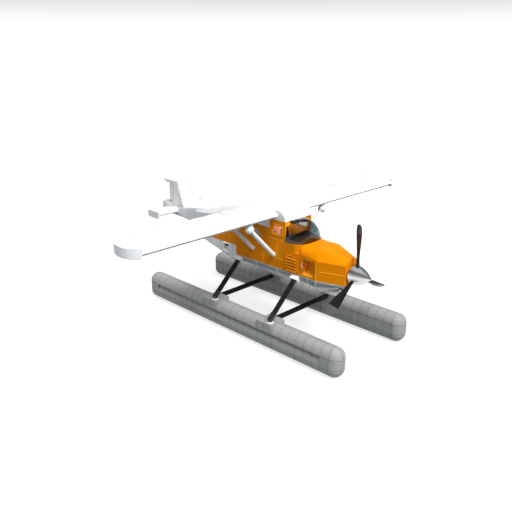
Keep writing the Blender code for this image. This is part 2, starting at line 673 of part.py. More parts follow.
def wing_strut(name, x, side):
    """A white brace from a pad on the cabin's side to a ball under the wing."""
    foot = side * HALF_WIDTH
    top = (x, side * STRUT_BALL_Y, STRUT_BALL_Z)
    pad_low, pad_high = sorted((foot + side * GAP, foot + side * 0.28))
    strut = node(name, rod((x, pad_low, STRUT_FOOT_Z), (x, pad_high, STRUT_FOOT_Z), 0.3, 18),
                 "white paint", smooth=True)
    join(strut, rod((x, foot + side * 0.22, STRUT_FOOT_Z), top, 0.25, 16))
    join(strut, ball(top, 0.44, 16, 8))
    join(strut, rod(top, (x, side * STRUT_BALL_Y, WING_UNDERSIDE - GAP), 0.25, 16))


# Tail surfaces

def tail_surfaces():
    fin = [(-26.15, 8.1 + GAP), (-27.05, 10.6), (-28.35, 10.6), (-28.35, 8.1 + GAP)]
    made = node("fin", prism(fin, "Y", -FIN_HALF_WIDTH, FIN_HALF_WIDTH), "white paint")
    cap = [(-26.98, 10.5), (-27.08, 11.0), (-29.75, 11.0), (-29.45, 10.6), (-28.3, 10.6), (-28.3, 10.5)]
    join(made, prism(cap, "Y", -FIN_HALF_WIDTH, FIN_HALF_WIDTH))
    nose = arc((RUDDER_HINGE, 0.0), 0.5, 80.0, -80.0, 10)
    plan = nose + [(-29.8, -0.12), (-29.8, 0.12)]
    cut(made, pin_hole((RUDDER_HINGE, 0.0, 10.0), (RUDDER_HINGE, 0.0, 10.76), PIN_RADIUS))
    rudder = node("rudder", prism(plan, "Z", 8.25, 10.6 - CLEAR), "white paint",
                  pivot=(RUDDER_HINGE, 0.0, 8.25), smooth=True)
    join(rudder, pin((RUDDER_HINGE, 0.0, 7.95), (RUDDER_HINGE, 0.0, 10.75), PIN_RADIUS))
    low, high = STABILISER_Z
    plane = [(STABILISER_FRONT, low + 0.1), (STABILISER_FRONT, high - 0.1), (STABILISER_FRONT - 0.1, high),
             (STABILISER_REAR, high), (STABILISER_REAR, low), (STABILISER_FRONT - 0.1, low)]
    reach = STABILISER_SPAN - 0.1
    stabiliser = node("stabiliser", prism(plane, "Y", -reach, reach), "white paint")
    for side in SIDES.values():
        plate_low, plate_high = sorted((side * (STABILISER_SPAN - 0.22), side * STABILISER_SPAN))
        join(stabiliser, box((-29.0, plate_low, 7.0), (STABILISER_FRONT, plate_high, 7.85)))
    blade = arc((ELEVATOR_HINGE, ELEVATOR_Z), 0.2, 80.0, -80.0, 8)
    blade += [(ELEVATOR_REAR, ELEVATOR_Z - 0.06), (ELEVATOR_REAR, ELEVATOR_Z + 0.06)]
    inner = FIN_HALF_WIDTH + CLEAR
    outer = STABILISER_SPAN - 0.22 - CLEAR
    pivot = (ELEVATOR_HINGE, 0.0, ELEVATOR_Z)
    elevator = node("elevator", prism(blade, "Y", inner, outer), "white paint", pivot=pivot, smooth=True)
    join(elevator, prism(blade, "Y", -outer, -inner))
    join(elevator, pin((ELEVATOR_HINGE, -1.5, ELEVATOR_Z), (ELEVATOR_HINGE, 1.5, ELEVATOR_Z), TUBE_RADIUS))


# Engine and propeller

def propeller():
    node("engine_block", box((SCUTTLE_FRONT + GAP, -0.95, 5.3), (-3.3, 0.95, 6.9)), "cast metal")
    profile = [(-3.3 + 2.0 * GAP, 0.28), (SPINNER_BASE, 0.28), (SPINNER_BASE, SPINNER_RADIUS)]
    for i in range(1, 10):
        t = i / 10.0
        profile.append((SPINNER_BASE + (SPINNER_TIP - SPINNER_BASE) * t,
                        SPINNER_RADIUS * (1.0 - t ** 2.0)))
    profile.append((SPINNER_TIP, 0.03))
    hub = (SPINNER_BASE, 0.0, SHAFT_Z)
    spinner = node("spinner", turned(profile, (0.0, SHAFT_Z), "X", 28), "chrome", pivot=hub, smooth=True)
    # radius, half chord, half thickness, pitch in degrees
    stations = (
        (0.45, 0.17, 0.17, 50.0),
        (1.15, 0.17, 0.17, 50.0),
        (1.7, 0.22, 0.13, 58.0),
        (2.6, 0.34, 0.10, 63.0),
        (3.5, 0.46, 0.08, 65.0),
        (4.2, 0.52, 0.06, 66.0),
        (4.7, 0.47, 0.045, 66.0),
        (4.9, 0.34, 0.035, 66.0),
        (BLADE_LENGTH, 0.18, 0.02, 66.0),
    )
    for number, angle in enumerate(BLADE_ANGLES, start=1):
        swing = math.radians(angle)
        out = Vector((0.0, math.cos(swing), math.sin(swing)))
        across = Vector((0.0, -math.sin(swing), math.cos(swing)))
        axle = Vector((1.0, 0.0, 0.0))
        centre = Vector((BLADE_X, 0.0, SHAFT_Z))
        rings = []
        for radius, chord, thick, pitch in stations:
            turn = math.radians(pitch)
            wide = across * math.cos(turn) + axle * math.sin(turn)
            deep = axle * math.cos(turn) - across * math.sin(turn)
            ring = []
            for i in range(10):
                a = 2.0 * math.pi * i / 10.0
                rim = wide * chord * math.cos(a) + deep * thick * math.sin(a)
                ring.append(tuple(centre + out * radius + rim))
            rings.append(ring)
        node(f"propeller_blade_{number}", loft(rings), "black steel", pivot=hub, smooth=True)
        cut(spinner, rod(centre + out * (0.45 - GAP), centre + out * 2.0, 0.1733, 20))


# Cabin fittings

def seat(name, front, rear, low_y, high_y, back_top):
    bottom = FLOOR_TOP + GAP
    base = box((rear + 0.25, low_y + 0.2, bottom), (front - 0.2, high_y - 0.2, 5.75))
    made = node(name, base, "black leather")
    join(made, box((rear, low_y, 5.7), (front, high_y, 6.15)))
    back = [(rear, 6.0), (rear + 0.35, 6.0), (rear + 0.15, back_top), (rear - 0.15, back_top)]
    join(made, prism(back, "Y", low_y, high_y))


def fittings():
    seat("seat_right", -10.3, -11.6, -1.5, -0.3, 8.3)
    seat("seat_left", -10.3, -11.6, 0.3, 1.5, 8.3)
    seat("bench_rear", -14.3, -15.5, -1.6, 1.6, 8.0)
    panel = box((-9.3, -1.7, 7.4), (CABIN_FRONT - GAP, 1.7, 8.35))
    made = node("instrument_panel", panel, "black leather")
    for y in (-0.9, 0.9):
        join(made, rod((-9.2, y, 7.6), (-9.75, y, 7.75), 0.06, 12))
        join(made, box((-9.85, y - 0.32, 7.6), (-9.72, y + 0.32, 7.72)))
        join(made, box((-9.85, y - 0.32, 7.65), (-9.72, y - 0.24, 8.05)))
        join(made, box((-9.85, y + 0.24, 7.65), (-9.72, y + 0.32, 8.05)))
    node("overhead_unit", box((-9.9, -0.35, 9.4), (-9.2, 0.35, SIDE_TOP - GAP)), "black leather")


def build():
    for old in list(bpy.data.objects):
        bpy.data.objects.remove(old)
    for name, side in SIDES.items():
        float_body(f"float_{name}", side)
        for end, x in LEG_STATIONS.items():
            float_leg(f"float_leg_{end}_{name}", x, side)
        for end, x in WING_STRUT_STATIONS.items():
            wing_strut(f"wing_strut_{end}_{name}", x, side)
    for end, x in SPREADER_STATIONS.items():
        spreader(f"spreader_bar_{end}", x)
    keel()
    cabin()
    scuttle()
    engine_cowl()
    windscreen()
    tail_cone()
    wing()
    tail_surfaces()
    propeller()
    fittings()


build()
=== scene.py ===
# %% [markdown]
# # A floatplane, dressed
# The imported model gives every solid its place, its size and its joints. This script keeps all of that and makes
# the looks: the block seams of the floats, paint, rivets, glass, cushions and light. Lengths are drawn in
# modules, the pitch of the floats' blocks, and turned into metres by one function.

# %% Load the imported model
import json
import math
import bmesh
import bpy
from mathutils import Matrix, Vector

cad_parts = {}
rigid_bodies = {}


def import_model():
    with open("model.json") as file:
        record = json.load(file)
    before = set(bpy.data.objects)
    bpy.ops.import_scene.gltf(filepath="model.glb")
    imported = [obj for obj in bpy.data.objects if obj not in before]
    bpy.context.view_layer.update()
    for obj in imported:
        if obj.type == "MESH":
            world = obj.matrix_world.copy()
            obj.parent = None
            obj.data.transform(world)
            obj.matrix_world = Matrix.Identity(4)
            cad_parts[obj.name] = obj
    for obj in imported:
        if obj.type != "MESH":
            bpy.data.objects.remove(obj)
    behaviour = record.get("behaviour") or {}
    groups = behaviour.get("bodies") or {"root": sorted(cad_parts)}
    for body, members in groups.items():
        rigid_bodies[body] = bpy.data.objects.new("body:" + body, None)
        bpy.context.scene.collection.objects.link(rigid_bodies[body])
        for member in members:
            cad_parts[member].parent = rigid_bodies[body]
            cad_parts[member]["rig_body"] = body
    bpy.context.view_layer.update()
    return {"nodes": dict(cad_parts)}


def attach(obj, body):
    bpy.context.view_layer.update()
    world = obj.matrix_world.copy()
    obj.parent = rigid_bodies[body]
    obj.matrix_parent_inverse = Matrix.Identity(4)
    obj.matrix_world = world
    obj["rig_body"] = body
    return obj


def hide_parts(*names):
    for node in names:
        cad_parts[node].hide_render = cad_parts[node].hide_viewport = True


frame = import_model()

# %% [markdown]
# ## Modules and metres
# Station 0 is the floats' bow seam, height 0 the top of their middle row. Writing every point in modules keeps
# the numbers small and lets a seam be placed by counting blocks.

# %% Modules and metres
MODULE = 0.30
SIDES = {"right": -1.0, "left": 1.0}


def at(x, y, z):
    """A point in modules, in metres of the model's frame."""
    return Vector(((x + 15.0) * MODULE, y * MODULE, (z + 2.0) * MODULE))


def arc(centre, radius, start, end, steps):
    """Points of an arc as (u, v) pairs, angles in degrees."""
    points = []
    for i in range(steps + 1):
        angle = math.radians(start + (end - start) * i / steps)
        points.append((centre[0] + radius * math.cos(angle), centre[1] + radius * math.sin(angle)))
    return points


print("one module is", MODULE, "m; the bow seam is at", tuple(round(v, 2) for v in at(0, 0, 0)))

# %% [markdown]
# ## Camera
# The photograph is a level view from the front right, 19.7 degrees above the horizon with a 45 degree lens.
# The camera was solved from the floats' seams, whose true pitch is known, so it needs no trial and error.

# %% Camera
camera = bpy.data.objects.new("camera", bpy.data.cameras.new("camera"))
bpy.context.scene.collection.objects.link(camera)
camera.data.sensor_width = 36.0
camera.data.lens = 43.456
camera.location = (13.430, -13.429, 8.761)
camera.rotation_euler = (Vector((0.0, 0.0, 1.956)) - camera.location).to_track_quat("-Z", "Y").to_euler()
bpy.context.scene.camera = camera
print("camera", round(camera.location.length, 2), "m from the origin")

# %% [markdown]
# ## Light and floor
# A studio sweep is a bright band at eye level under a dimmer ceiling. The world is a ramp over height that does
# this, so chrome shows a dark top and a bright belly. One broad sun from the front and above lights tops and
# noses and leaves the flanks darker. The floor is pale and so wide that its edge never shows; to the eye it is
# near white, but it throws back little light, so undersides stay dark as over water. The picture is shown
# without a film curve, which keeps the orange as strong as fresh paint.

# %% Light and floor
world = bpy.data.worlds.new("studio")
bpy.context.scene.world = world
world.use_nodes = True
tree = world.node_tree
coords = tree.nodes.new("ShaderNodeTexCoord")
split = tree.nodes.new("ShaderNodeSeparateXYZ")
tree.links.new(coords.outputs["Generated"], split.inputs[0])
pick = tree.nodes.new("ShaderNodeMix")
pick.data_type = "RGBA"
tree.links.new(tree.nodes.new("ShaderNodeLightPath").outputs["Is Glossy Ray"], pick.inputs["Factor"])
for socket, stops in ((6, ((0.0, 1.15), (0.12, 1.38), (0.30, 0.97), (0.42, 0.42), (0.75, 0.24), (1.0, 0.21))),
                      (7, ((0.0, 1.0), (0.10, 1.0), (0.24, 0.62), (0.45, 0.16), (0.7, 0.05), (1.0, 0.03)))):
    ramp = tree.nodes.new("ShaderNodeValToRGB")
    tree.links.new(split.outputs["Z"], ramp.inputs["Fac"])
    for position, tone in stops:
        stop = ramp.color_ramp.elements[int(position)] if position in (0.0, 1.0) else None
        stop = stop or ramp.color_ramp.elements.new(position)
        stop.color = (tone, tone * 1.005, tone * 1.02, 1.0)
    tree.links.new(ramp.outputs["Color"], pick.inputs[socket])
tree.links.new(pick.outputs[2], tree.nodes["Background"].inputs["Color"])
tree.nodes["Background"].inputs["Strength"].default_value = 1.0

sun = bpy.data.objects.new("key_sun", bpy.data.lights.new("key_sun", "SUN"))
bpy.context.scene.collection.objects.link(sun)
sun.data.energy = 4.0
sun.visible_glossy = sun.visible_transmission = False
sun.data.angle = math.radians(30.0)
sun.rotation_euler = Vector((-0.56, 0.12, -0.80)).to_track_quat("-Z", "Y").to_euler()
bpy.context.scene.view_settings.view_transform = "Standard"

floor_mesh = bpy.data.meshes.new("floor")
reach = 4000.0
floor_mesh.from_pydata([(-reach, -reach, 0), (reach, -reach, 0), (reach, reach, 0), (-reach, reach, 0)], [],
                       [(0, 1, 2, 3)])
floor = bpy.data.objects.new("floor", floor_mesh)
bpy.context.scene.collection.objects.link(floor)
floor_paint = bpy.data.materials.new("floor_paint")
floor_paint.use_nodes = True
tree = floor_paint.node_tree
paths = tree.nodes.new("ShaderNodeLightPath")
either = tree.nodes.new("ShaderNodeMath")
either.operation = "MAXIMUM"
tree.links.new(paths.outputs["Is Camera Ray"], either.inputs[0])
tree.links.new(paths.outputs["Is Glossy Ray"], either.inputs[1])
for socket, unseen_tone, seen_tone in (("Base Color", (0.06, 0.10, 0.12, 1.0), (0.40, 0.40, 0.40, 1.0)),
                                       ("Emission Color", (0.0, 0.0, 0.0, 1.0), (0.74, 0.74, 0.74, 1.0))):
    shade = tree.nodes.new("ShaderNodeMix")
    shade.data_type = "RGBA"
    shade.inputs[6].default_value = unseen_tone
    shade.inputs[7].default_value = seen_tone
    tree.links.new(either.outputs[0], shade.inputs["Factor"])
    tree.links.new(shade.outputs[2], tree.nodes["Principled BSDF"].inputs[socket])
tree.nodes["Principled BSDF"].inputs["Emission Strength"].default_value = 1.0
floor_paint.node_tree.nodes["Principled BSDF"].inputs["Roughness"].default_value = 0.95
floor_paint.node_tree.nodes["Principled BSDF"].inputs["Specular IOR Level"].default_value = 0.1
floor_mesh.materials.append(floor_paint)

lamp = bpy.data.objects.new("cabin_lamp", bpy.data.lights.new("cabin_lamp", "POINT"))
bpy.context.scene.collection.objects.link(lamp)
lamp.data.energy = 22.0
lamp.data.shadow_soft_size = 0.25
lamp.visible_camera = lamp.visible_glossy = lamp.visible_transmission = False
lamp.location = (0.9, 0.0, 3.35)
print("sun energy", sun.data.energy)

# %% [markdown]
# ## Shared effects
# Paint is never one flat colour. Two node groups hold what most finishes here need: a fine ripple with a slow
# drift of tone, as sprayed paint has, and a mask of worn edges. They put out numbers only, and each material
# feeds them into its own shader, so that one group serves many finishes.


# %% Node group helpers
def group_of(name, inputs, outputs):
    """A new shader node group with named float sockets; returns (group, input node, output node)."""
    group = bpy.data.node_groups.new(name, "ShaderNodeTree")
    for label, value in inputs:
        socket = group.interface.new_socket(name=label, in_out="INPUT", socket_type="NodeSocketFloat")
        socket.default_value = value
    for label, kind in outputs:
        group.interface.new_socket(name=label, in_out="OUTPUT", socket_type=kind)
    return group, group.nodes.new("NodeGroupInput"), group.nodes.new("NodeGroupOutput")


def maths(tree, operation, a, b=None):
    """A Math node with two inputs, each a socket or a number; returns its output."""
    made = tree.nodes.new("ShaderNodeMath")
    made.operation = operation
    for slot, value in enumerate((a, b)):
        if value is None:
            continue
        if isinstance(value, (int, float)):
            made.inputs[slot].default_value = value
        else:
            tree.links.new(value, made.inputs[slot])
    return made.outputs[0]


def noise(tree, scale, detail, vector=None):
    made = tree.nodes.new("ShaderNodeTexNoise")
    made.inputs["Detail"].default_value = detail
    if isinstance(scale, (int, float)):
        made.inputs["Scale"].default_value = scale
    else:
        tree.links.new(scale, made.inputs["Scale"])
    if vector is not None:
        tree.links.new(vector, made.inputs["Vector"])
    return made.outputs[0]


# %% Sprayed coat: tone, ripple and dust
coat, entry, leave = group_of("sprayed_coat", [("Ripple scale", 60.0), ("Drift scale", 1.2), ("Drift", 0.06)],
                              [("Tone", "NodeSocketFloat"), ("Ripple", "NodeSocketFloat"), ("Haze", "NodeSocketFloat")])
place = coat.nodes.new("ShaderNodeTexCoord").outputs["Object"]
drift = noise(coat, entry.outputs["Drift scale"], 4.0, place)
coat.links.new(maths(coat, "SUBTRACT", 1.0, maths(coat, "MULTIPLY", drift, entry.outputs["Drift"])), leave.inputs["Tone"])
coat.links.new(noise(coat, entry.outputs["Ripple scale"], 2.0, place), leave.inputs["Ripple"])
stretch = coat.nodes.new("ShaderNodeMapping")
stretch.inputs["Scale"].default_value = (3.0, 3.0, 0.5)
coat.links.new(place, stretch.inputs["Vector"])
coat.links.new(noise(coat, 3.0, 5.0, stretch.outputs["Vector"]), leave.inputs["Haze"])
print("sprayed coat ready")

# %% Worn edges
wear, entry, leave = group_of("worn_edges", [("Width", 0.006), ("Patches", 9.0)], [("Mask", "NodeSocketFloat")])
rounded = wear.nodes.new("ShaderNodeBevel")
rounded.samples = 4
wear.links.new(entry.outputs["Width"], rounded.inputs["Radius"])
plain = wear.nodes.new("ShaderNodeNewGeometry")
likeness = wear.nodes.new("ShaderNodeVectorMath")
likeness.operation = "DOT_PRODUCT"
wear.links.new(rounded.outputs["Normal"], likeness.inputs[0])
wear.links.new(plain.outputs["Normal"], likeness.inputs[1])
edge = maths(wear, "MULTIPLY", maths(wear, "SUBTRACT", 1.0, likeness.outputs["Value"]), 14.0)
patch = noise(wear, entry.outputs["Patches"], 6.0, wear.nodes.new("ShaderNodeTexCoord").outputs["Object"])
chips = maths(wear, "GREATER_THAN", maths(wear, "MULTIPLY", edge, patch), 0.62)
wear.links.new(chips, leave.inputs["Mask"])
print("worn edges ready")


# %% [markdown]
# ## Finishes
# Every painted surface is the same recipe with its own colour, ripple and wear: sprayed coat into colour, bump
# and roughness, and bare metal where edges are worn. A clear coat on the shader gives the gloss.

# %% Paint recipe
def mixed(tree, factor, a, b):
    """A colour mix; a and b are sockets or colours."""
    made = tree.nodes.new("ShaderNodeMix")
    made.data_type = "RGBA"
    tree.links.new(factor, made.inputs["Factor"])
    for slot, value in ((6, a), (7, b)):
        if isinstance(value, tuple):
            made.inputs[slot].default_value = (*value, 1.0)
        else:
            tree.links.new(value, made.inputs[slot])
    return made.outputs[2]


def new_material(name):
    made = bpy.data.materials.new(name)
    made.use_nodes = True
    return made, made.node_tree, made.node_tree.nodes["Principled BSDF"]


def paint(name, colour, roughness, bare=(0.42, 0.42, 0.43), ripple=60.0, drift=0.08, coat_weight=0.35, bump=0.12,
          worn=0.006, metallic=0.0, gloss=0.5):
    made, tree, shader = new_material(name)
    spray = tree.nodes.new("ShaderNodeGroup")
    spray.node_tree = coat
    spray.inputs["Ripple scale"].default_value = ripple
    spray.inputs["Drift"].default_value = drift
    tone = tree.nodes.new("ShaderNodeMix")
    tone.data_type = "RGBA"
    tone.blend_type = "MULTIPLY"
    tone.inputs["Factor"].default_value = 1.0
    tone.inputs[6].default_value = (*colour, 1.0)
    tree.links.new(spray.outputs["Tone"], tone.inputs[7])
    final = tone.outputs[2]
    if worn:
        edges = tree.nodes.new("ShaderNodeGroup")
        edges.node_tree = wear
        edges.inputs["Width"].default_value = worn
        final = mixed(tree, edges.outputs["Mask"], final, bare)
    tree.links.new(final, shader.inputs["Base Color"])
    haze = maths(tree, "MULTIPLY", spray.outputs["Haze"], 0.16)
    tree.links.new(maths(tree, "ADD", haze, roughness - 0.08), shader.inputs["Roughness"])
    relief = tree.nodes.new("ShaderNodeBump")
    relief.inputs["Strength"].default_value = bump
    relief.inputs["Distance"].default_value = 0.0015
    tree.links.new(spray.outputs["Ripple"], relief.inputs["Height"])
    tree.links.new(relief.outputs["Normal"], shader.inputs["Normal"])
    shader.inputs["Coat Weight"].default_value = coat_weight
    shader.inputs["Coat Roughness"].default_value = 0.08
    shader.inputs["Metallic"].default_value = metallic
    shader.inputs["Specular IOR Level"].default_value = gloss
    return made


orange = paint("orange_paint", (0.86, 0.262, 0.001), 0.42, bare=(0.95, 0.36, 0.02), drift=0.10, coat_weight=0.0,
               gloss=0.06)
white = paint("white_paint", (0.86, 0.86, 0.86), 0.4, bare=(0.74, 0.74, 0.74), drift=0.05, coat_weight=0.04, gloss=0.2)
float_grey = paint("float_grey", (0.36, 0.36, 0.357), 0.5, bare=(0.46, 0.46, 0.46), ripple=120.0, drift=0.22,
                   coat_weight=0.05, bump=0.3, worn=0.005)
keel_grey = paint("keel_grey", (0.29, 0.32, 0.34), 0.4, drift=0.12)
lug_white = paint("lug_white", (0.93, 0.93, 0.93), 0.5, drift=0.03, coat_weight=0.0, worn=0.0, gloss=0.2)
black_rod = paint("black_rod_paint", (0.008, 0.008, 0.009), 0.34, bare=(0.06, 0.06, 0.065), drift=0.3, bump=0.2,
                  coat_weight=0.0, gloss=0.3)
seam_grey = paint("grey_seam", (0.42, 0.42, 0.42), 0.6, drift=0.1, coat_weight=0.0, worn=0.0, gloss=0.1)
# A dark grey for lines along white edges: painted shade where a white face turns away from the light.
painted_shade_grey = paint("grey_painted_shade", (0.12, 0.12, 0.12), 0.6, drift=0.1, coat_weight=0.0, worn=0.0, gloss=0.1)
joint_dark = paint("joint_compound", (0.055, 0.055, 0.06), 0.7, drift=0.3, coat_weight=0.0, worn=0.0)
# Black for the screw heads, and painted shade: black strips and plates stand for dark slots, louvre gaps and scoop
# mouths.
black_and_painted_shade = paint("black_and_painted_shade", (0.004, 0.003, 0.010), 0.8, drift=0.2, coat_weight=0.0, worn=0.0, gloss=0.05)
# A lighter orange than the paint: painted highlight on the raised and pressed seams, and painted light in the exhaust
# scoops' bowls.
painted_light_orange = paint("orange_painted_light", (1.0, 0.42, 0.02), 0.4, drift=0.1, coat_weight=0.0, worn=0.0, gloss=0.1)
print("paints ready")

# %% [markdown]
# ## Solids from outlines
# Each shape is an outline swept along an axis, a loft through rings, or a tube along a path. All are drawn in
# modules and become metres once, when the piece is made, so one table of numbers serves the whole aircraft.

# %% Solids from outlines
TO_METRES = Matrix.Scale(MODULE, 4) @ Matrix.Translation((15.0, 0.0, 2.0))


def loft(rings, caps=True, wrap=False):
    """A solid through rings of equal point count, closed by its end faces or wrapped round to its start."""
    bm = bmesh.new()
    rows = [[bm.verts.new(point) for point in ring] for ring in rings]
    count = len(rings[0])
    pairs = list(zip(rows, rows[1:]))
    if wrap:
        pairs.append((rows[-1], rows[0]))
    for near, far in pairs:
        for i in range(count):
            j = (i + 1) % count
            bm.faces.new((near[i], near[j], far[j], far[i]))
    if caps and not wrap:
        bm.faces.new(list(reversed(rows[0])))
        bm.faces.new(rows[-1])
    bmesh.ops.remove_doubles(bm, verts=bm.verts, dist=1e-5)
    bmesh.ops.recalc_face_normals(bm, faces=bm.faces)
    return bm


def prism(outline, axis, low, high):
    """An outline swept along an axis. Its pairs are YZ for axis X, XZ for Y and XY for Z."""
    def point(pair, along):
        if axis == "X":
            return (along, pair[0], pair[1])
        if axis == "Y":
            return (pair[0], along, pair[1])
        return (pair[0], pair[1], along)
    return loft([[point(pair, low) for pair in outline], [point(pair, high) for pair in outline]])


def box(low, high):
    """A box between two corners given in any order."""
    outline = [(low[0], low[1]), (high[0], low[1]), (high[0], high[1]), (low[0], high[1])]
    return prism(outline, "Z", low[2], high[2])


def tube(path, radii, section):
    """A tube along a path; section is a list of (u, v) pairs at radius 1."""
    points = [Vector(p) for p in path]
    rings = []
    side = None
    for i, centre in enumerate(points):
        ahead = (points[min(i + 1, len(points) - 1)] - points[max(i - 1, 0)]).normalized()
        if side is None:
            side = ahead.orthogonal().normalized()
        side = (side - ahead * side.dot(ahead)).normalized()
        up = ahead.cross(side)
        rings.append([tuple(centre + (side * u + up * v) * radii[i]) for u, v in section])
    return loft(rings)


def rod(start, end, radius, sides=32, end_radius=None):
    """A round bar, or a cone where end_radius is given."""
    return tube([start, end], [radius, radius if end_radius is None else end_radius], circle(sides))


def circle(sides):
    return arc((0.0, 0.0), 1.0, 0.0, 360.0 * (sides - 1) / sides, sides - 1)


def turned(profile, centre, axis, sides=48):
    """A solid turned about an axis through centre; profile holds (along, radius) pairs."""
    rings = []
    for along, radius in profile:
        flat = [(u * max(radius, 1e-4), v * max(radius, 1e-4)) for u, v in circle(sides)]
        if axis == "X":
            rings.append([(along, centre[0] + u, centre[1] + v) for u, v in flat])
        elif axis == "Y":
            rings.append([(centre[0] + u, along, centre[1] + v) for u, v in flat])
        else:
            rings.append([(centre[0] + u, centre[1] + v, along) for u, v in flat])
    return loft(rings)


def merged(parts):
    """One mesh of several; parts is a list of meshes, or of (mesh, matrix) pairs to place copies."""
    whole = bmesh.new()
    for part in parts:
        bm, move = part if isinstance(part, tuple) else (part, Matrix.Identity(4))
        carrier = bpy.data.meshes.new("carrier")
        bm.to_mesh(carrier)
        carrier.transform(move)
        if move.determinant() < 0.0:
            carrier.flip_normals()
        whole.from_mesh(carrier)
        bpy.data.meshes.remove(carrier)
    return whole


def eased(bm, width=0.02, segments=2, angle=30.0):
    """Rounds a mesh's sharp edges, but for those with too little room to take it."""
    def roomy(edge):
        return all(other.calc_length() > 2.6 * width for v in edge.verts for other in v.link_edges)

    sharp = [e for e in bm.edges if len(e.link_faces) == 2 and e.calc_face_angle(0.0) > math.radians(angle)
             and roomy(e)]
    bmesh.ops.bevel(bm, geom=sharp, offset=width, segments=segments, profile=0.5, affect="EDGES",
                    clamp_overlap=False)
    return bm


def carved(bm, cutter):
    """A mesh less its cutter, by an exact Boolean. Both meshes are used up."""
    pair = []
    for shape in (bm, cutter):
        holder = bpy.data.objects.new("holder", bpy.data.meshes.new("holder"))
        shape.to_mesh(holder.data)
        shape.free()
        bpy.context.scene.collection.objects.link(holder)
        pair.append(holder)
    cut = pair[0].modifiers.new("cut", "BOOLEAN")
    cut.object = pair[1]
    cut.solver = "EXACT"
    result = bmesh.new()
    result.from_object(pair[0], bpy.context.evaluated_depsgraph_get())
    for holder in pair:
        bpy.data.objects.remove(holder)
    return result


def score(bm, axis, station, spans=None, width=0.05, depth=0.03, tint=1):
    """Presses a V-shaped seam into a mesh where a plane cuts it, and gives its faces another finish.
    spans limits it along other axes, as {axis: (low, high)}."""
    index = "XYZ".index(axis)
    limits = {"XYZ".index(k): v for k, v in (spans or {}).items()}

    def slice_at(which, value, faces):
        normal = [0.0, 0.0, 0.0]
        point = [0.0, 0.0, 0.0]
        normal[which] = 1.0
        point[which] = value
        edges = {e for f in faces for e in f.edges}
        verts = {v for f in faces for v in f.verts}
        bmesh.ops.bisect_plane(bm, geom=list(verts) + list(edges) + list(faces), dist=1e-6, plane_co=point,
                               plane_no=normal)

    def inside(point, slack=0.0):
        return all(low - slack <= point[k] <= high + slack for k, (low, high) in limits.items())

    near = [f for f in bm.faces if min(v.co[index] for v in f.verts) <= station + width
            and max(v.co[index] for v in f.verts) >= station - width]
    for which, (low, high) in limits.items():
        for value in (low, low + 0.02, high - 0.02, high):
            near = [f for f in bm.faces if min(v.co[index] for v in f.verts) <= station + width
                    and max(v.co[index] for v in f.verts) >= station - width
                    and min(v.co[which] for v in f.verts) < value < max(v.co[which] for v in f.verts)]
            slice_at(which, value, near)
    for value in (station - 0.5 * width, station, station + 0.5 * width):
        near = [f for f in bm.faces if inside(f.calc_center_median())
                and min(v.co[index] for v in f.verts) < value < max(v.co[index] for v in f.verts)]
        slice_at(index, value, near)
    bm.normal_update()
    moves = {v: v.normal.copy() for v in bm.verts if abs(v.co[index] - station) < 1e-5 and inside(v.co, -0.01)}
    for f in bm.faces:
        middle = f.calc_center_median()
        if abs(middle[index] - station) < 0.5 * width and inside(middle) and abs(f.normal[index]) < 0.9:
            f.material_index = tint
    for v, normal in moves.items():
        normal[index] = 0.0
        if normal.length > 1e-3:
            v.co -= normal.normalized() * depth
    return bm


def piece(name, bm, finishes, body, stands_for=(), smooth=35.0, weighted=True):
    """A piece of the aircraft from a mesh in modules: its finishes, its body, what it stands for."""
    bmesh.ops.connect_verts_concave(bm, faces=bm.faces)
    bmesh.ops.connect_verts_nonplanar(bm, angle_limit=math.radians(2.0), faces=bm.faces)
    mesh = bpy.data.meshes.new(name)
    bm.to_mesh(mesh)
    bm.free()
    mesh.transform(TO_METRES)
    for layer in ("custom_normal", "sharp_face"):
        if layer in mesh.attributes:
            mesh.attributes.remove(mesh.attributes[layer])
    for finish in (finishes if isinstance(finishes, (list, tuple)) else [finishes]):
        mesh.materials.append(finish)
    mesh.shade_smooth()
    mesh.set_sharp_from_angle(angle=math.radians(smooth))
    made = bpy.data.objects.new(name, mesh)
    bpy.context.scene.collection.objects.link(made)
    if weighted:
        modifier = made.modifiers.new("weighted", "WEIGHTED_NORMAL")
        modifier.keep_sharp = True
        bpy.context.view_layer.update()
        baked = bpy.data.meshes.new_from_object(made.evaluated_get(bpy.context.evaluated_depsgraph_get()))
        made.modifiers.clear()
        made.data = baked
        bpy.data.meshes.remove(mesh)
    if stands_for:
        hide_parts(*stands_for)
    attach(made, body)
    return made


def body_of(node):
    return frame["nodes"][node]["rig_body"]


def copied(node, tidy=0.6):
    """A CAD node's mesh in modules, welded and with its flat faces whole again."""
    bm = bmesh.new()
    bm.from_mesh(frame["nodes"][node].data)
    bmesh.ops.remove_doubles(bm, verts=bm.verts, dist=2e-5)
    bmesh.ops.dissolve_limit(bm, angle_limit=math.radians(tidy), verts=bm.verts, edges=bm.edges)
    bmesh.ops.connect_verts_concave(bm, faces=bm.faces)
    for f in bm.faces:
        f.material_index = 0
    bmesh.ops.transform(bm, matrix=TO_METRES.inverted(), verts=bm.verts)
    return bm


print("helpers ready")

# %% [markdown]
# ## Glass, metal, leather
# Glass is a closed sheet with two faces, so that light bends in and out as it does in a real pane. Its colour
# and its haze vary a little, since a pane of one exact tone reads as plastic.


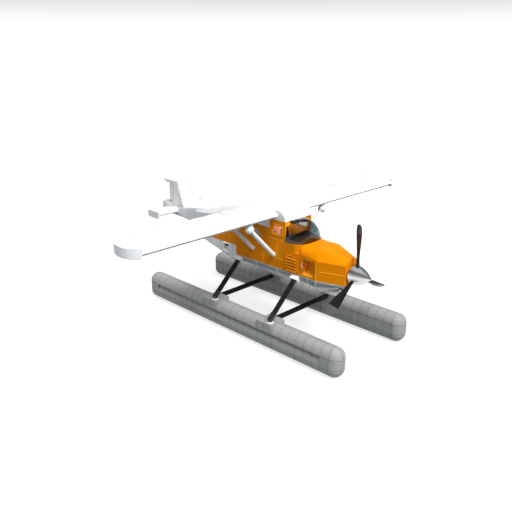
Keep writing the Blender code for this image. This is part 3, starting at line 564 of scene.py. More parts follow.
# %% Glass
def glass(name, colour, roughness, transmission):
    made, tree, shader = new_material(name)
    spray = tree.nodes.new("ShaderNodeGroup")
    spray.node_tree = coat
    spray.inputs["Ripple scale"].default_value = 4.0
    tone = tree.nodes.new("ShaderNodeMix")
    tone.data_type = "RGBA"
    tone.blend_type = "MULTIPLY"
    tone.inputs["Factor"].default_value = 1.0
    tone.inputs[6].default_value = (*colour, 1.0)
    tree.links.new(spray.outputs["Tone"], tone.inputs[7])
    tree.links.new(tone.outputs[2], shader.inputs["Base Color"])
    tree.links.new(maths(tree, "MULTIPLY", spray.outputs["Haze"], roughness), shader.inputs["Roughness"])
    shader.inputs["Transmission Weight"].default_value = transmission
    shader.inputs["IOR"].default_value = 1.45
    return made


smoked = glass("smoked_glass", (0.30, 0.37, 0.39), 0.05, 1.0)
clear = glass("clear_pane", (0.92, 0.90, 0.88), 0.05, 1.0)
chrome = paint("chrome", (0.80, 0.80, 0.82), 0.16, ripple=20.0, drift=0.06, bump=0.02, worn=0.0, metallic=1.0)
satin_chrome = paint("satin_chrome", (0.66, 0.66, 0.68), 0.34, ripple=20.0, drift=0.06, bump=0.02, worn=0.0,
                     coat_weight=0.0, metallic=1.0)
blade_black = paint("blade_black", (0.006, 0.006, 0.007), 0.32, bare=(0.03, 0.03, 0.03), bump=0.05, coat_weight=0.0,
                    gloss=0.22)
# A lighter grey than the blades for their caps: painted sheen for the gloss on the tips, on a glossier finish.
glossy_tip_painted_sheen = paint("blade_tip_painted_sheen", (0.075, 0.075, 0.078), 0.28, ripple=30.0, drift=0.15, bump=0.03, worn=0.0,
                 coat_weight=0.1, gloss=0.5)
gloss_black = paint("gloss_black", (0.012, 0.012, 0.014), 0.18, bare=(0.1, 0.1, 0.1), bump=0.05, worn=0.004)
leather = paint("black_leather", (0.022, 0.022, 0.026), 0.5, bare=(0.05, 0.05, 0.05), ripple=180.0, bump=0.5,
                coat_weight=0.0, worn=0.004)
fitting = paint("panel_plastic", (0.03, 0.032, 0.04), 0.55, bare=(0.08, 0.08, 0.09), ripple=240.0, bump=0.4,
                coat_weight=0.0, worn=0.003)
cast = paint("cast_metal", (0.36, 0.36, 0.37), 0.45, ripple=90.0, drift=0.25, bump=0.6, worn=0.006, metallic=0.8)
dial_white = paint("dial_white", (0.75, 0.75, 0.72), 0.5, worn=0.0, ripple=200.0)
rubber = paint("rubber_seal", (0.02, 0.02, 0.02), 0.7, worn=0.0, coat_weight=0.0, ripple=160.0, bump=0.4)
print("glass, metal and leather ready")

# %% [markdown]
# ## Floats built of blocks
# A float is a stack of one-module blocks: quarter rounds above and below a square middle row, cubes where the
# legs stand, and ball corners at the ends. Each block is eased at its edges and set a few millimetres from the
# next, with a dark core behind, so every seam is a real groove that catches light on one side.

# %% Block shapes
SHRINK = 0.016
EASE = 0.035


def quarter_outline():
    """A quarter disc in the first quadrant, drawn a little inside its module."""
    start = math.degrees(math.asin(SHRINK / (1.0 - SHRINK)))
    return [(SHRINK, SHRINK)] + arc((0.0, 0.0), 1.0 - SHRINK, start, 90.0 - start, 8)


def octant():
    """An eighth of a ball in the first octant."""
    bm = bmesh.new()
    steps = 7
    rows = []
    for k in range(steps):
        lift = 0.5 * math.pi * k / steps
        row = []
        for j in range(steps + 1):
            turn = 0.5 * math.pi * j / steps
            row.append(bm.verts.new((math.cos(lift) * math.cos(turn), math.cos(lift) * math.sin(turn),
                                     math.sin(lift))))
        rows.append(row)
    top = bm.verts.new((0.0, 0.0, 1.0))
    centre = bm.verts.new((0.0, 0.0, 0.0))
    for near, far in zip(rows, rows[1:]):
        for j in range(steps):
            bm.faces.new((near[j], near[j + 1], far[j + 1], far[j]))
    for j in range(steps):
        bm.faces.new((rows[-1][j], rows[-1][j + 1], top))
    bm.faces.new([centre] + list(reversed(rows[0])))
    bm.faces.new([centre] + [row[0] for row in rows] + [top])
    bm.faces.new([centre, top] + [row[-1] for row in reversed(rows)])
    bmesh.ops.recalc_face_normals(bm, faces=bm.faces)
    bmesh.ops.transform(bm, matrix=Matrix.Translation((SHRINK, SHRINK, SHRINK)) @ Matrix.Scale(1 - 2 * SHRINK, 4),
                        verts=bm.verts)
    return bm


far = 1.0 - SHRINK
blocks = {
    "quarter": prism(quarter_outline(), "X", SHRINK, far),
    "upright": prism(quarter_outline(), "Z", SHRINK, far),
    "cube": box((SHRINK, SHRINK, SHRINK), (far, far, far)),
    "rail": prism([(SHRINK, SHRINK), (far, SHRINK), (0.93, 0.4), (0.80, 0.75), (0.66, far), (SHRINK, far)], "X",
                  SHRINK, far),
    "corner": octant(),
}
for bm in blocks.values():
    eased(bm, EASE, 2, 40.0)
print("block shapes", {k: len(v.faces) for k, v in blocks.items()})

# %% Float cores and blocks


def float_core(side):
    """The dark filling that shows only in the seams."""
    rings = []
    for x, size in ((0.93, 0.3), (0.7, 0.66), (0.3, 0.9), (0.0, 0.95), (-0.96, 0.95), (-1.0, 0.95), (-25.0, 0.95),
                    (-25.04, 0.95), (-26.0, 0.95), (-26.3, 0.9), (-26.7, 0.66), (-26.93, 0.3)):
        flat = [(u * size, v * size) for u, v in arc((0.0, 0.0), 1.0, 0.0, 180.0, 12)]
        flat += [(u * size, v * size - 1.0) for u, v in arc((0.0, 0.0), 1.0, 180.0, 360.0, 12)]
        kept = [(min(u, 0.6) if -1.02 < v < 0.02 and -25.02 < x < -0.98 else u, v) for u, v in flat]
        rings.append([(x, side * (5.0 + u), v) for u, v in kept])
    return loft(rings)


def placed(kind, x, y, z, side, flip=(1, 1, 1)):
    """A block whose inner corner is at (x, y, z) of the float, growing along the signs in flip."""
    move = Matrix.Translation((x, side * (5.0 + y), z))
    return blocks[kind], move @ Matrix.Diagonal((flip[0], side * flip[1], flip[2], 1.0))


for name, side in SIDES.items():
    parts = []
    for x in range(-26, 0):
        deck = -9 <= x < -7 or -17 <= x < -15
        for y in (-1, 1):
            parts.append(placed("cube" if deck else "quarter", x, 0.0, 0.0, side, (1, y, 1)))
            parts.append(placed("quarter", x, 0.0, -1.0, side, (1, y, -1)))
        parts.append(placed("cube", x, 0.0, -1.0, side, (1, -1, 1)))
        parts.append(placed("rail" if -25 <= x < -1 else "cube", x, 0.0, -1.0, side, (1, 1, 1)))
    for x, forward in ((0.0, 1), (-26.0, -1)):
        for y in (-1, 1):
            parts.append(placed("corner", x, 0.0, 0.0, side, (forward, y, 1)))
            parts.append(placed("upright", x, 0.0, -1.0, side, (forward, y, 1)))
            parts.append(placed("corner", x, 0.0, -1.0, side, (forward, y, -1)))
    piece(f"float_blocks_{name}", merged(parts), float_grey, body_of(f"float_{name}"),
          [f"float_{name}"], smooth=40.0)
    piece(f"float_core_{name}", float_core(side), joint_dark, body_of(f"float_{name}"))
    print("float", name, "blocks", len(parts))

# %% [markdown]
# ## Legs and cross bars
# The bars have a section of four ribs. Each leg stands on a white washer, turns through a glossy elbow and runs
# up to the keel's lug. Small collars break the ribs at every module, which gives the bars their notched look.

# %% Ribbed bars


def ribbed():
    """The four-ribbed section, with its rib corners softened."""
    quarter = [(0.97, -0.40), (1.0, -0.34), (1.0, 0.34), (0.97, 0.40), (0.44, 0.42), (0.42, 0.44)]
    flat = []
    for i in range(4):
        spin = Matrix.Rotation(math.radians(90.0 * i), 2)
        flat += [tuple(spin @ Vector(pair)) for pair in quarter]
    return flat


def ribbed_bar(start, end, radius, notch_every=1.0):
    start, end = Vector(start), Vector(end)
    length = (end - start).length
    along = (end - start).normalized()
    path = [start]
    radii = [radius]
    step = notch_every
    while step < length - 0.2:
        for offset, size in ((-0.035, radius), (-0.02, radius * 0.9), (0.02, radius * 0.9), (0.035, radius)):
            path.append(start + along * (step + offset))
            radii.append(size)
        step += notch_every
    path.append(end)
    radii.append(radius)
    return tube(path, radii, ribbed())


for end, x in (("front", -8.2), ("rear", -16.4)):
    node = f"spreader_bar_{end}"
    ribs = ribbed_bar((x, -3.995, 0.68), (x, 3.995, 0.68), 0.25)
    piece(f"spreader_{end}", ribs, black_rod, body_of(node), [node], weighted=False)
print("cross bars made")

# %% Legs, elbows and washers
for name, side in SIDES.items():
    for end, x in (("front", -7.5), ("rear", -15.5)):
        node = f"float_leg_{end}_{name}"
        elbow = Vector((x, side * 5.45, 1.42))
        top = Vector((x, side * 2.2, 4.45))
        along = (top - elbow).normalized()
        bend = [Vector((x, side * 5.6, 1.1)), Vector((x, side * 5.6, 1.2)), Vector((x, side * 5.58, 1.3)),
                Vector((x, side * 5.53, 1.39)), elbow + along * 0.02, elbow + along * 0.14, elbow + along * 0.46,
                elbow + along * 0.5]
        parts = [tube(bend, [0.25, 0.27, 0.28, 0.285, 0.29, 0.29, 0.29, 0.26], circle(32)),
                 tube([elbow + along * 0.36, elbow + along * 0.39, elbow + along * 0.5, elbow + along * 0.53],
                      [0.27, 0.32, 0.32, 0.27], circle(32)),
                 tube([top - along * 0.42, top - along * 0.39, top - along * 0.2, top - along * 0.06,
                       top - along * 0.004], [0.2, 0.27, 0.31, 0.30, 0.24], circle(32))]
        piece(f"leg_elbow_{end}_{name}", merged(parts), gloss_black, body_of(node), [node])
        ribs = ribbed_bar(elbow + along * 0.3, top - along * 0.2, 0.25)
        piece(f"leg_bar_{end}_{name}", ribs, black_rod, body_of(node), weighted=False)
        washer = turned([(1.0, 0.30), (1.0, 0.34), (1.03, 0.36), (1.09, 0.36), (1.12, 0.33), (1.12, 0.2)],
                        (x, side * 5.6), "Z")
        bolts = [turned([(1.12, 0.03), (1.12, 0.045), (1.15, 0.045), (1.165, 0.02)],
                        (x + 0.315 * math.cos(a), side * 5.6 + 0.315 * math.sin(a)), "Z", 12)
                 for a in (0.4, 1.97, 3.54, 5.11)]
        piece(f"leg_washer_{end}_{name}", merged([washer] + bolts), white, body_of(node))
print("legs made")

# %% [markdown]
# ## Fuselage skins
# The fuselage's own solids are copied, their edges eased and their seams scored with a plane, so the skins sit
# exactly where the CAD model has them. The CAD solids stay hidden under them for collision.

# %% Keel
rings = []
for x, half, bottom, radius in ((-15.999, 2.0, 4.0, 1.0), (-5.0, 2.0, 4.0, 1.0), (-3.6, 1.54, 4.3, 0.68),
                                (-2.3, 1.1, 4.8, 0.19)):
    left = [(half - radius + u, 4.999 + v * (4.999 - bottom)) for u, v in
            [(radius * math.cos(math.radians(a)), math.sin(math.radians(a))) for a in range(0, -91, -9)]]
    rings.append([(x, y, z) for y, z in left + [(-y, z) for y, z in reversed(left)]])
bm = eased(loft(rings), 0.03)
for station in (-13.0, -10.0, -6.0, -5.0):
    score(bm, "X", station, width=0.12, depth=-0.015)
# The bevel faces along the keel's top edge take white: a painted highlight where light catches that rounded edge.
for f in bm.faces:
    middle = f.calc_center_median()
    if middle.z > 4.95 and abs(f.normal.z) < 0.98 and abs(middle.y) > 0.8:
        f.material_index = 1
piece("keel_skin", bm, [keel_grey, white], body_of("belly_keel"), ["belly_keel"])
lugs = [eased(prism([(side * y, z) for y, z in ((1.4, 4.9), (2.1, 4.9), (2.405, 4.669), (1.995, 4.231), (1.4, 4.3))],
                    "X", x - 0.45, x + 0.45), 0.035, 3) for x in (-7.5, -15.5) for side in SIDES.values()]
piece("keel_lugs", merged(lugs), lug_white, body_of("belly_keel"))
print("keel made")

# %% [markdown]
# ## Cabin walls and doors
# The walls are single panels with pressed seams. A door is a plain leaf hung on two round knuckles, with a flush
# handle cup near its free edge, so it is drawn new rather than copied.

# %% Cabin walls
# The walls' seam ridges take the lighter orange: a painted highlight for the light that catches them.
for name, side in SIDES.items():
    outer = tuple(sorted((side * 1.95, side * 2.05)))
    bm = eased(copied(f"cabin_side_{name}"), 0.02)
    for axis, station, spans in (
            ("X", -10.0, {"Z": (6.25, 7.9)}), ("X", -12.0, {"Z": (5.03, 6.4)}), ("X", -17.1, {"Z": (6.05, 7.2)}),
            ("Z", 7.03, {"X": (-13.4, -12.15)}), ("Z", 8.0, {"X": (-11.0, -9.05)}), ("Z", 6.04, {"X": (-11.0, -9.05)})):
        score(bm, axis, station, {**spans, "Y": outer}, width=0.09, depth=-0.03)
    node = f"cabin_side_{name}"
    piece(f"cabin_wall_{name}", bm, [orange, painted_light_orange], body_of(node), [node])
print("walls made")

# %% Cabin doors
KNUCKLES = ((5.66, 5.94), (8.76, 9.0))
# The pressed seam across each door takes the lighter orange: a painted highlight in the groove.
for name, side in SIDES.items():
    node = f"cabin_door_{name}"
    outer = tuple(sorted((side * 1.95, side * 2.05)))
    low, high = sorted((side * 1.8, side * 2.0))
    leaf = eased(box((-15.85, low, 5.3), (-13.9, high, 9.6)), 0.03, 3)
    score(leaf, "Z", 7.03, {"Y": outer}, width=0.07, depth=0.03)
    parts = [leaf]
    for middle, upper in KNUCKLES:
        parts.append(eased(rod((-13.87, side * 2.1, middle), (-13.87, side * 2.1, upper), 0.07, 24), 0.008, 1))
        strap = [(-14.17, 2.001), (-13.93, 2.001), (-13.88, 2.04), (-13.87, 2.13), (-14.05, 2.13), (-14.17, 2.06)]
        parts.append(eased(prism([(x, side * y) for x, y in strap], "Z", middle, upper), 0.008, 1))
    piece(f"door_leaf_{name}", merged(parts), [orange, painted_light_orange], body_of(node), [node])
    cup = turned([(side * 2.001, 0.17), (side * 2.02, 0.17), (side * 2.03, 0.15), (side * 2.03, 0.12),
                  (side * 2.006, 0.10), (side * 2.006, 0.02)], (-15.5, 7.5), "Y", 32)
    lever = eased(box((-15.62, min(side * 2.006, side * 2.05), 7.47), (-15.38, max(side * 2.006, side * 2.05), 7.53)),
                  0.012, 2)
    piece(f"door_handle_{name}", merged([cup, lever]), chrome, body_of(node))
print("doors made")

# %% [markdown]
# ## Windows
# Each window sits in a rounded rim that stands proud of the wall, as a pressed frame does. The rim is a ring
# between two outlines of equal point count, so a square hole in the wall gets round corners.

# %% Window rims


def rounded(centre, size, radius, steps=6):
    """A rectangle with round corners, as (u, v) pairs."""
    points = []
    for turn, (su, sv) in enumerate(((1, 1), (-1, 1), (-1, -1), (1, -1))):
        corner = (centre[0] + su * (0.5 * size[0] - radius), centre[1] + sv * (0.5 * size[1] - radius))
        points += arc(corner, radius, 90.0 * turn, 90.0 * turn + 90.0, steps)
    return points


def rim(outer, inner, side, section):
    """A ring on the cabin's side between two outlines; section holds (share inwards, height) pairs."""
    rings = []
    for share, height in section:
        rings.append([(a[0] + (b[0] - a[0]) * share, side * (2.0 + height), a[1] + (b[1] - a[1]) * share)
                      for a, b in zip(outer, inner)])
    return loft(rings, wrap=True)


PROUD = ((0.0, 0.001), (0.02, 0.035), (0.14, 0.062), (0.45, 0.066), (0.75, 0.05), (0.95, 0.0), (1.0, -0.15),
         (0.75, -0.15), (0.70, 0.001))
for name, side in SIDES.items():
    node = f"cabin_side_{name}"
    frame_ring = rim(rounded((-10.05, 9.0), (1.62, 1.2), 0.26), rounded((-10.05, 9.0), (1.22, 0.82), 0.17), side, PROUD)
    piece(f"window_rim_{name}", frame_ring, orange, body_of(node))
    port_ring = rim([(x, z) for x, z in arc((-12.94, 8.06), 0.82, 0.0, 352.5, 47)],
                    [(x, z) for x, z in arc((-12.94, 8.06), 0.54, 0.0, 352.5, 47)], side, PROUD)
    piece(f"porthole_rim_{name}", port_ring, orange, body_of(node))
    pane_low, pane_high = sorted((side * 1.88, side * 1.94))
    node = f"side_window_{name}"
    pane = prism(rounded((-10.05, 9.0), (1.36, 0.96), 0.2), "Y", pane_low, pane_high)
    piece(f"side_pane_{name}", pane, clear, body_of(node), [node])
    node = f"round_window_{name}"
    pane = turned([(pane_low, 0.61), (pane_high, 0.61)], (-12.94, 8.06), "Y", 64)
    piece(f"round_pane_{name}", pane, clear, body_of(node), [node])
print("windows made")

# %% Cabin floor
bm = copied("cabin_floor")
ribs = [eased(box((x, -1.5, 5.171), (x + 0.12, 1.5, 5.19)), 0.006, 1) for x in (-13.9 + 0.3 * k for k in range(7))]
floor_parts = merged([eased(bm, 0.01)] + ribs)
piece("floor_plate", floor_parts, cast, body_of("cabin_floor"), ["cabin_floor"])

# %% [markdown]
# ## Scuttle, louvres and cowl
# The louvred panel is built up from a black back plate, a frame and five bent slats, so that the slots between
# the slats are real; the black plate behind them is painted shade that keeps them dark. The cowl keeps its flat
# facets, with a seam along the side.

# %% Scuttle and louvres
outline = [(-9.0, -2.0)] + arc((-8.0, -1.0), 1.0, -90.0, 0.0, 20) + arc((-8.0, 1.0), 1.0, 0.0, 90.0, 20) + [(-9.0, 2.0)]
lower = carved(box((-9.0, -2.0, 5.0), (-7.0, 2.0, 7.2)), box((-10.0, -1.6, 5.17), (-7.5, 1.6, 7.3)))
upper = carved(prism(outline, "Z", 7.2, 8.0), box((-10.0, -1.6, 7.0), (-7.5, 1.6, 7.3)))
bm = eased(merged([lower, upper]), 0.015)
piece("scuttle_skin", bm, [orange, painted_light_orange], body_of("cockpit_scuttle"), ["cockpit_scuttle"])
# The black back plate behind the slats is painted shade for the dark of the slots.
for name, side in SIDES.items():
    def plate(x0, z0, x1, z1, low, high):
        a, b = sorted((side * low, side * high))
        return box((x0, a, z0), (x1, b, z1))

    back = plate(-8.80, 5.22, -7.28, 6.77, 2.052, 2.06)
    piece(f"louvre_painted_shade_back_{name}", back, black_and_painted_shade, body_of("cockpit_scuttle"))
    parts = [eased(plate(x0, z0, x1, z1, 2.052, 2.12), 0.012, 2) for x0, z0, x1, z1 in (
        (-8.88, 5.16, -8.72, 6.83), (-7.36, 5.16, -7.2, 6.83), (-8.74, 6.70, -7.34, 6.83), (-8.74, 5.16, -7.34, 5.22))]
    pitch = 1.67 / 5.5
    for i in range(5):
        z = 5.16 + pitch * (0.45 + i) - 0.06
        slat = [(2.056, z + 0.06), (2.15, z), (2.19, z + 0.015), (2.185, z + 0.05), (2.11, z + 0.155),
                (2.07, z + 0.2), (2.056, z + 0.2)]
        parts.append(prism([(side * y, v) for y, v in slat], "X", -8.73, -7.35))
    piece(f"louvre_{name}", merged(parts), orange, body_of("cockpit_scuttle"))
    screws = [turned([(side * 2.12, 0.06), (side * 2.128, 0.055), (side * 2.13, 0.01)], (x, z), "Y", 16)
              for x in (-8.8, -7.28) for z in (5.25, 6.74)]
    piece(f"louvre_screws_{name}", merged(screws), black_and_painted_shade, body_of("cockpit_scuttle"))
print("scuttle made")

# %% Cowl
COWL = ((-6.998, 2.0, 7.2, 1.2, 8.0, 1.0), (-5.0, 2.0, 7.0, 1.31, 8.0, 0.35), (-4.75, 1.92, 7.0, 1.24, 8.0, 0.0),
        (-2.2, 1.06, 6.98, 0.42, 7.5, -1.0))


def cowl_ring(row, inset):
    """One section of the cowl: station, half width, side's top, shoulder's half width, top, roundness."""
    x, half, side_top, shoulder, top, round_share = row
    half, bottom, top, shoulder = half - inset, 5.0 + inset, top - inset, shoulder - 0.5 * inset
    left = [(half, bottom), (half, 0.5 * (bottom + side_top)), (half, side_top)]
    for i in range(1, 12):
        t = math.radians(7.5 * i)
        flat = i / 12.0 if round_share >= 0.0 else 0.1 * i / 12.0
        bend = max(round_share, 0.0)
        y = half + (shoulder - half) * flat
        z = side_top + (top - side_top) * flat
        left.append((y + (shoulder + (half - shoulder) * math.cos(t) - y) * bend,
                     z + (side_top + (top - side_top) * math.sin(t) - z) * bend))
    left.append((shoulder, top))
    return [(x, y, z) for y, z in left + [(-y, z) for y, z in reversed(left)]]


steps = [tuple(a + (b - a) * k / 8.0 for a, b in zip(COWL[0], COWL[1])) for k in range(8)]
bm = loft([cowl_ring(row, 0.0) for row in steps + list(COWL[1:])])
bm = carved(bm, loft([cowl_ring(row, 0.15) for row in ((-7.5, *COWL[0][1:]), *COWL[1:3], (-2.35, *COWL[3][1:]))]))
bm = carved(bm, rod((-3.2, 0.0, 6.0), (-1.2, 0.0, 6.0), 0.45, 40))
for side in SIDES.values():
    bm = carved(bm, box((-6.75, min(side * 1.2, side * 2.5), 5.15), (-5.07, max(side * 1.2, side * 2.5), 6.92)))
bm = eased(bm, 0.02)
# The cowl's raised seams take the lighter orange: a painted highlight.
for side in SIDES.values():
    score(bm, "Z", 6.0, {"X": (-4.7, -2.25), "Y": tuple(sorted((side * 0.9, side * 2.2)))}, width=0.09, depth=-0.025)
    score(bm, "X", -5.0, {"Z": (5.02, 6.9), "Y": tuple(sorted((side * 1.95, side * 2.05)))}, width=0.07, depth=-0.02)
piece("cowl_skin", bm, [orange, painted_light_orange], body_of("engine_cowl"), ["engine_cowl"], smooth=24.0)
# Each scoop's skin is the lighter orange all over: painted light, so its bowl reads lit rather than shaded.
for name in SIDES:
    node = f"exhaust_scoop_{name}"
    piece(f"scoop_skin_{name}", eased(copied(node), 0.01), painted_light_orange, body_of(node), [node])
print("cowl made")

# %% [markdown]
# ## Exhaust pockets
# On each side of the nose a scooped pocket ends the exhaust; its skin is a lighter orange, painted light in the
# bowl. Its mouth has one large round corner, which a frame between the pocket's square edge and a rounded outline
# gives. On the frame a thin black strip, painted shade, stands for a slot.

# %% Exhaust pockets
mouth = [(-6.73, 5.165), (-6.05, 5.165), (-5.78, 5.17)] + arc((-5.72, 5.77), 0.6, -86.0, 0.0, 8)
mouth += [(-5.10, 6.2), (-5.12, 6.45)] + arc((-5.5, 6.5), 0.38, 10.0, 80.0, 6) + [(-5.8, 6.89), (-6.1, 6.9)]
mouth += [(-6.34, 6.9), (-6.34, 6.5), (-6.35, 6.1), (-6.38, 5.9), (-6.45, 5.7), (-6.56, 5.5), (-6.73, 5.32)]
middle = (-5.8, 6.035)


def along_ray(outline, angle):
    """Where a ray from the pocket's middle crosses an outline."""
    du, dv = math.cos(angle), math.sin(angle)
    best = None
    for a, b in zip(outline, outline[1:] + outline[:1]):
        eu, ev = b[0] - a[0], b[1] - a[1]
        cross = du * ev - dv * eu
        if abs(cross) < 1e-9:
            continue
        au, av = a[0] - middle[0], a[1] - middle[1]
        reach, share = (au * ev - av * eu) / cross, (au * dv - av * du) / cross
        if reach > 0.0 and -1e-6 <= share <= 1.0 + 1e-6:
            best = reach
    return (middle[0] + du * best, middle[1] + dv * best)


corners = [(-5.075, 5.155), (-5.075, 6.915), (-6.74, 6.915), (-6.74, 5.155)]
angles = sorted(math.atan2(v - middle[1], u - middle[0]) for u, v in mouth + corners)
square = [along_ray(corners, a) for a in angles]
mouth = [along_ray(mouth, a) for a in angles]
LIP = ((0.0, -0.12), (0.0, 0.004), (0.5, 0.006), (0.9, 0.0), (1.0, -0.03), (1.0, -0.12))
# The slot is a thin black strip on the skin: painted shade for a dark gap.
for name, side in SIDES.items():
    node = f"exhaust_scoop_{name}"
    piece(f"pocket_frame_{name}", rim(square, mouth, side, LIP), orange, body_of(node))
    slot = eased(box((-6.50, min(side * 2.004, side * 2.012), 5.97), (-6.38, max(side * 2.004, side * 2.012), 6.86)),
                 0.004, 1)
    piece(f"pocket_painted_shade_slot_{name}", slot, black_and_painted_shade, body_of(node))
    outer_arc = arc((-6.52, 6.19), 0.25, 90.0, 270.0, 14)
    inner_arc = arc((-6.45, 6.19), 0.25, 262.0, 98.0, 14)
    crescent = prism(outer_arc + inner_arc, "Y", *sorted((side * 2.002, side * 2.04)))
    piece(f"pocket_crescent_{name}", crescent, white, body_of(node))
print("pockets made")

# %% [markdown]
# ## Windscreen
# The dome is drawn finer than the CAD one, with two faces, and a dark seal runs round its foot.

# %% Windscreen dome


def dome_ring(level, inset, columns, floor_z, ceiling):
    rise = min((level - 8.0) / 2.2, 1.0)
    half = 2.0 * math.sqrt(1.0 - rise ** 2) - inset
    depth = 2.0 * math.sqrt(1.0 - rise ** 3) - inset
    power = 3.2 - 1.1 * (level - 8.0) / 2.0
    height = max(floor_z, min(level, ceiling - inset))
    ring = []
    for i in range(columns + 1):
        angle = math.pi * (i / columns - 0.5)
        y = math.copysign(abs(math.sin(angle)) ** (2.0 / power), angle) * half
        x = abs(math.cos(angle)) ** (2.0 / power) * depth if 0 < i < columns else 0.0
        ring.append((-8.998 + x, y, height))
    return ring


def dome(inset_outer, inset_inner, low, high, rows, columns):
    bm = bmesh.new()
    grids = []
    for inset in (inset_outer, inset_inner):
        rings = [dome_ring(low + (high - low) * k / rows, inset, columns, low, high) for k in range(rows + 1)]
        if high > 9.9:
            rings.append([(-8.998, y, z) for x, y, z in rings[-1]])
        grids.append([[bm.verts.new(p) for p in ring] for ring in rings])
    outer, inner = grids
    for grid in grids:
        for near, over in zip(grid, grid[1:]):
            for i in range(columns):
                bm.faces.new((near[i], near[i + 1], over[i + 1], over[i]))
    for k in (0, -1):
        for i in range(columns):
            bm.faces.new((outer[k][i + 1], outer[k][i], inner[k][i], inner[k][i + 1]))
    for near, over in zip(range(len(outer)), range(1, len(outer))):
        for i in (0, -1):
            bm.faces.new((outer[near][i], outer[over][i], inner[over][i], inner[near][i]))
    bmesh.ops.remove_doubles(bm, verts=bm.verts, dist=1e-5)
    bmesh.ops.dissolve_degenerate(bm, edges=bm.edges, dist=1e-5)
    bmesh.ops.recalc_face_normals(bm, faces=bm.faces)
    return bm


piece("windscreen_dome", dome(0.0, 0.06, 8.001, 9.999, 28, 56), smoked, body_of("windscreen"),
      ["windscreen"], smooth=50.0, weighted=False)
foot = dome_ring(8.001, 0.03, 56, 8.001, 9.999)
seal = tube([(x, y, 8.03) for x, y, z in foot], [0.035] * len(foot), circle(10))
piece("windscreen_seal", seal, rubber, body_of("windscreen"))
print("windscreen made")

# %% [markdown]
# ## Tail and wing skins
# White skins share one treatment: eased edges and scored seams at the stations where panels meet. The edges that
# look away from the light get a wide rounding, because that thin grey line is all that parts white from white.
# The wing's nose is drawn rounder than its few CAD facets, so its underside rolls away into shade.

# %% Tail and wing skins
ROUNDER_NOSE = {(-9.95, 10.42): (-9.965, 10.47), (-10.0, 10.27): (-10.04, 10.325), (-10.15, 10.18): (-10.2, 10.222),
                (-10.5, 10.15): (-10.5, 10.152)}


# A seam given a fourth item takes the third finish: a dark grey line along an edge, painted shade.
def skin(node, seams=(), width=0.015, name=None, finish=None, segments=2, nose=None,
         grooves=()):
    bm = copied(node)
    for v in bm.verts if nose else ():
        for (x, z), (new_x, new_z) in nose.items():
            if abs(v.co.x - x) < 0.02 and abs(v.co.z - z) < 0.02:
                v.co.x, v.co.z = new_x, new_z
    for groove in grooves:
        bm = carved(bm, groove)
    eased(bm, width, segments)
    for seam in seams:
        score(bm, *seam[:2], *(seam[2:3] or (None,)), width=0.06, depth=0.015, tint=len(seam) // 4 + 1)
    return piece(name or f"{node}_skin", bm, [finish or white, seam_grey, painted_shade_grey], body_of(node), [node])


def root_groove(side):
    """A curved seam over the wing's root, from the roof's rear to the wing's nose."""
    points = [(-13.4, 2.1), (-12.9, 2.12), (-12.4, 2.3), (-11.9, 2.62), (-11.4, 3.0), (-11.0, 3.32)]
    return tube([(x, side * y, 11.01) for x, y in points], [0.06] * 6, circle(12))


skin("rear_deck", width=0.05, segments=3)
foot, crown = [(-14.0, 10.004), (-14.0, 11.0)], [(-9.001, 10.004)]
middle_part = prism(foot + arc((-10.62, 9.38), 1.74, 68.6, 22.0, 14) + crown, "Y", -1.02, 1.02)
parts = [middle_part]
for side in SIDES.values():
    block = prism(foot + arc((-10.0, 10.0), 0.999, 90.0, 1.0, 20) + crown, "Y", *sorted((side * 1.0, side * 2.0)))
    parts.append(eased(block, 0.03, 3))
    section = [(-14.0, 10.62), (-14.0, 10.88), (-12.6, 10.99), (-11.4, 10.99), (-10.7, 10.915), (-10.25, 10.76),
               (-10.02, 10.58), (-9.965, 10.47), (-9.98, 10.4), (-10.04, 10.325), (-10.2, 10.222), (-10.5, 10.152),
               (-12.4, 10.15)]
    panel = carved(prism(section, "Y", *sorted((side * 1.9, side * 2.4965))), root_groove(side))
    parts.append(panel)
    parts.append(eased(box((-13.5, min(side * 2.001, side * 2.12), 9.1), (-11.03, max(side * 2.001, side * 2.12), 10.3)),
                       0.02, 2))
piece("wing_centre_skin", merged(parts), [white, seam_grey], body_of("wing_centre"), ["wing_centre"])
for name, side in SIDES.items():
    span = tuple(sorted((side * 2.6, side * 18.4)))
    edges = [("X", x, {"Y": span, "Z": (10.6, 11.1)}, "edge") for x in (-12.62, -13.9)]
    skin(f"wing_{name}", edges + [("Y", side * y, {"X": (-12.6, -9.9)}) for y in (6.0, 10.75, 14.0, 17.5)], 0.06,
         segments=3, nose=ROUNDER_NOSE, grooves=[root_groove(side)])
    for kind, middle_rib in (("flap", 8.4), ("aileron", 14.0)):
        skin(f"{kind}_{name}", [("Y", side * middle_rib), ("X", -13.88, {"Z": (10.7, 11.1)}, "edge")], 0.05,
             segments=3)
skin("rudder", width=0.03)
skin("elevator", width=0.02)
skin("stabiliser", width=0.04, segments=3)
sides = [((-1.1, -0.9)), ((0.9, 1.1))]
edges = [("Y", y, spans, "edge") for y in (-0.9, 0.9) for spans in ({"X": (-27.4, -26.0)}, {"Z": (10.9, 11.1)})]
skin("fin", edges + [("X", -29.55, {"Z": (10.9, 11.1)}, "edge")]
     + [("X", x, {"Y": side, "Z": (8.2, 10.45)}) for x in (-27.85, -28.12) for side in sides], width=0.07, segments=3)
print("white skins made")

# %% [markdown]
# ## Tail cone
# On each flank a panel holds a scoop: a row of black blocks, painted shade for a dark mouth, above a ramp that
# leans outwards, so that it catches the light. Small hinge blocks and a tie rod stand on the tail's flat top behind the
# fin.

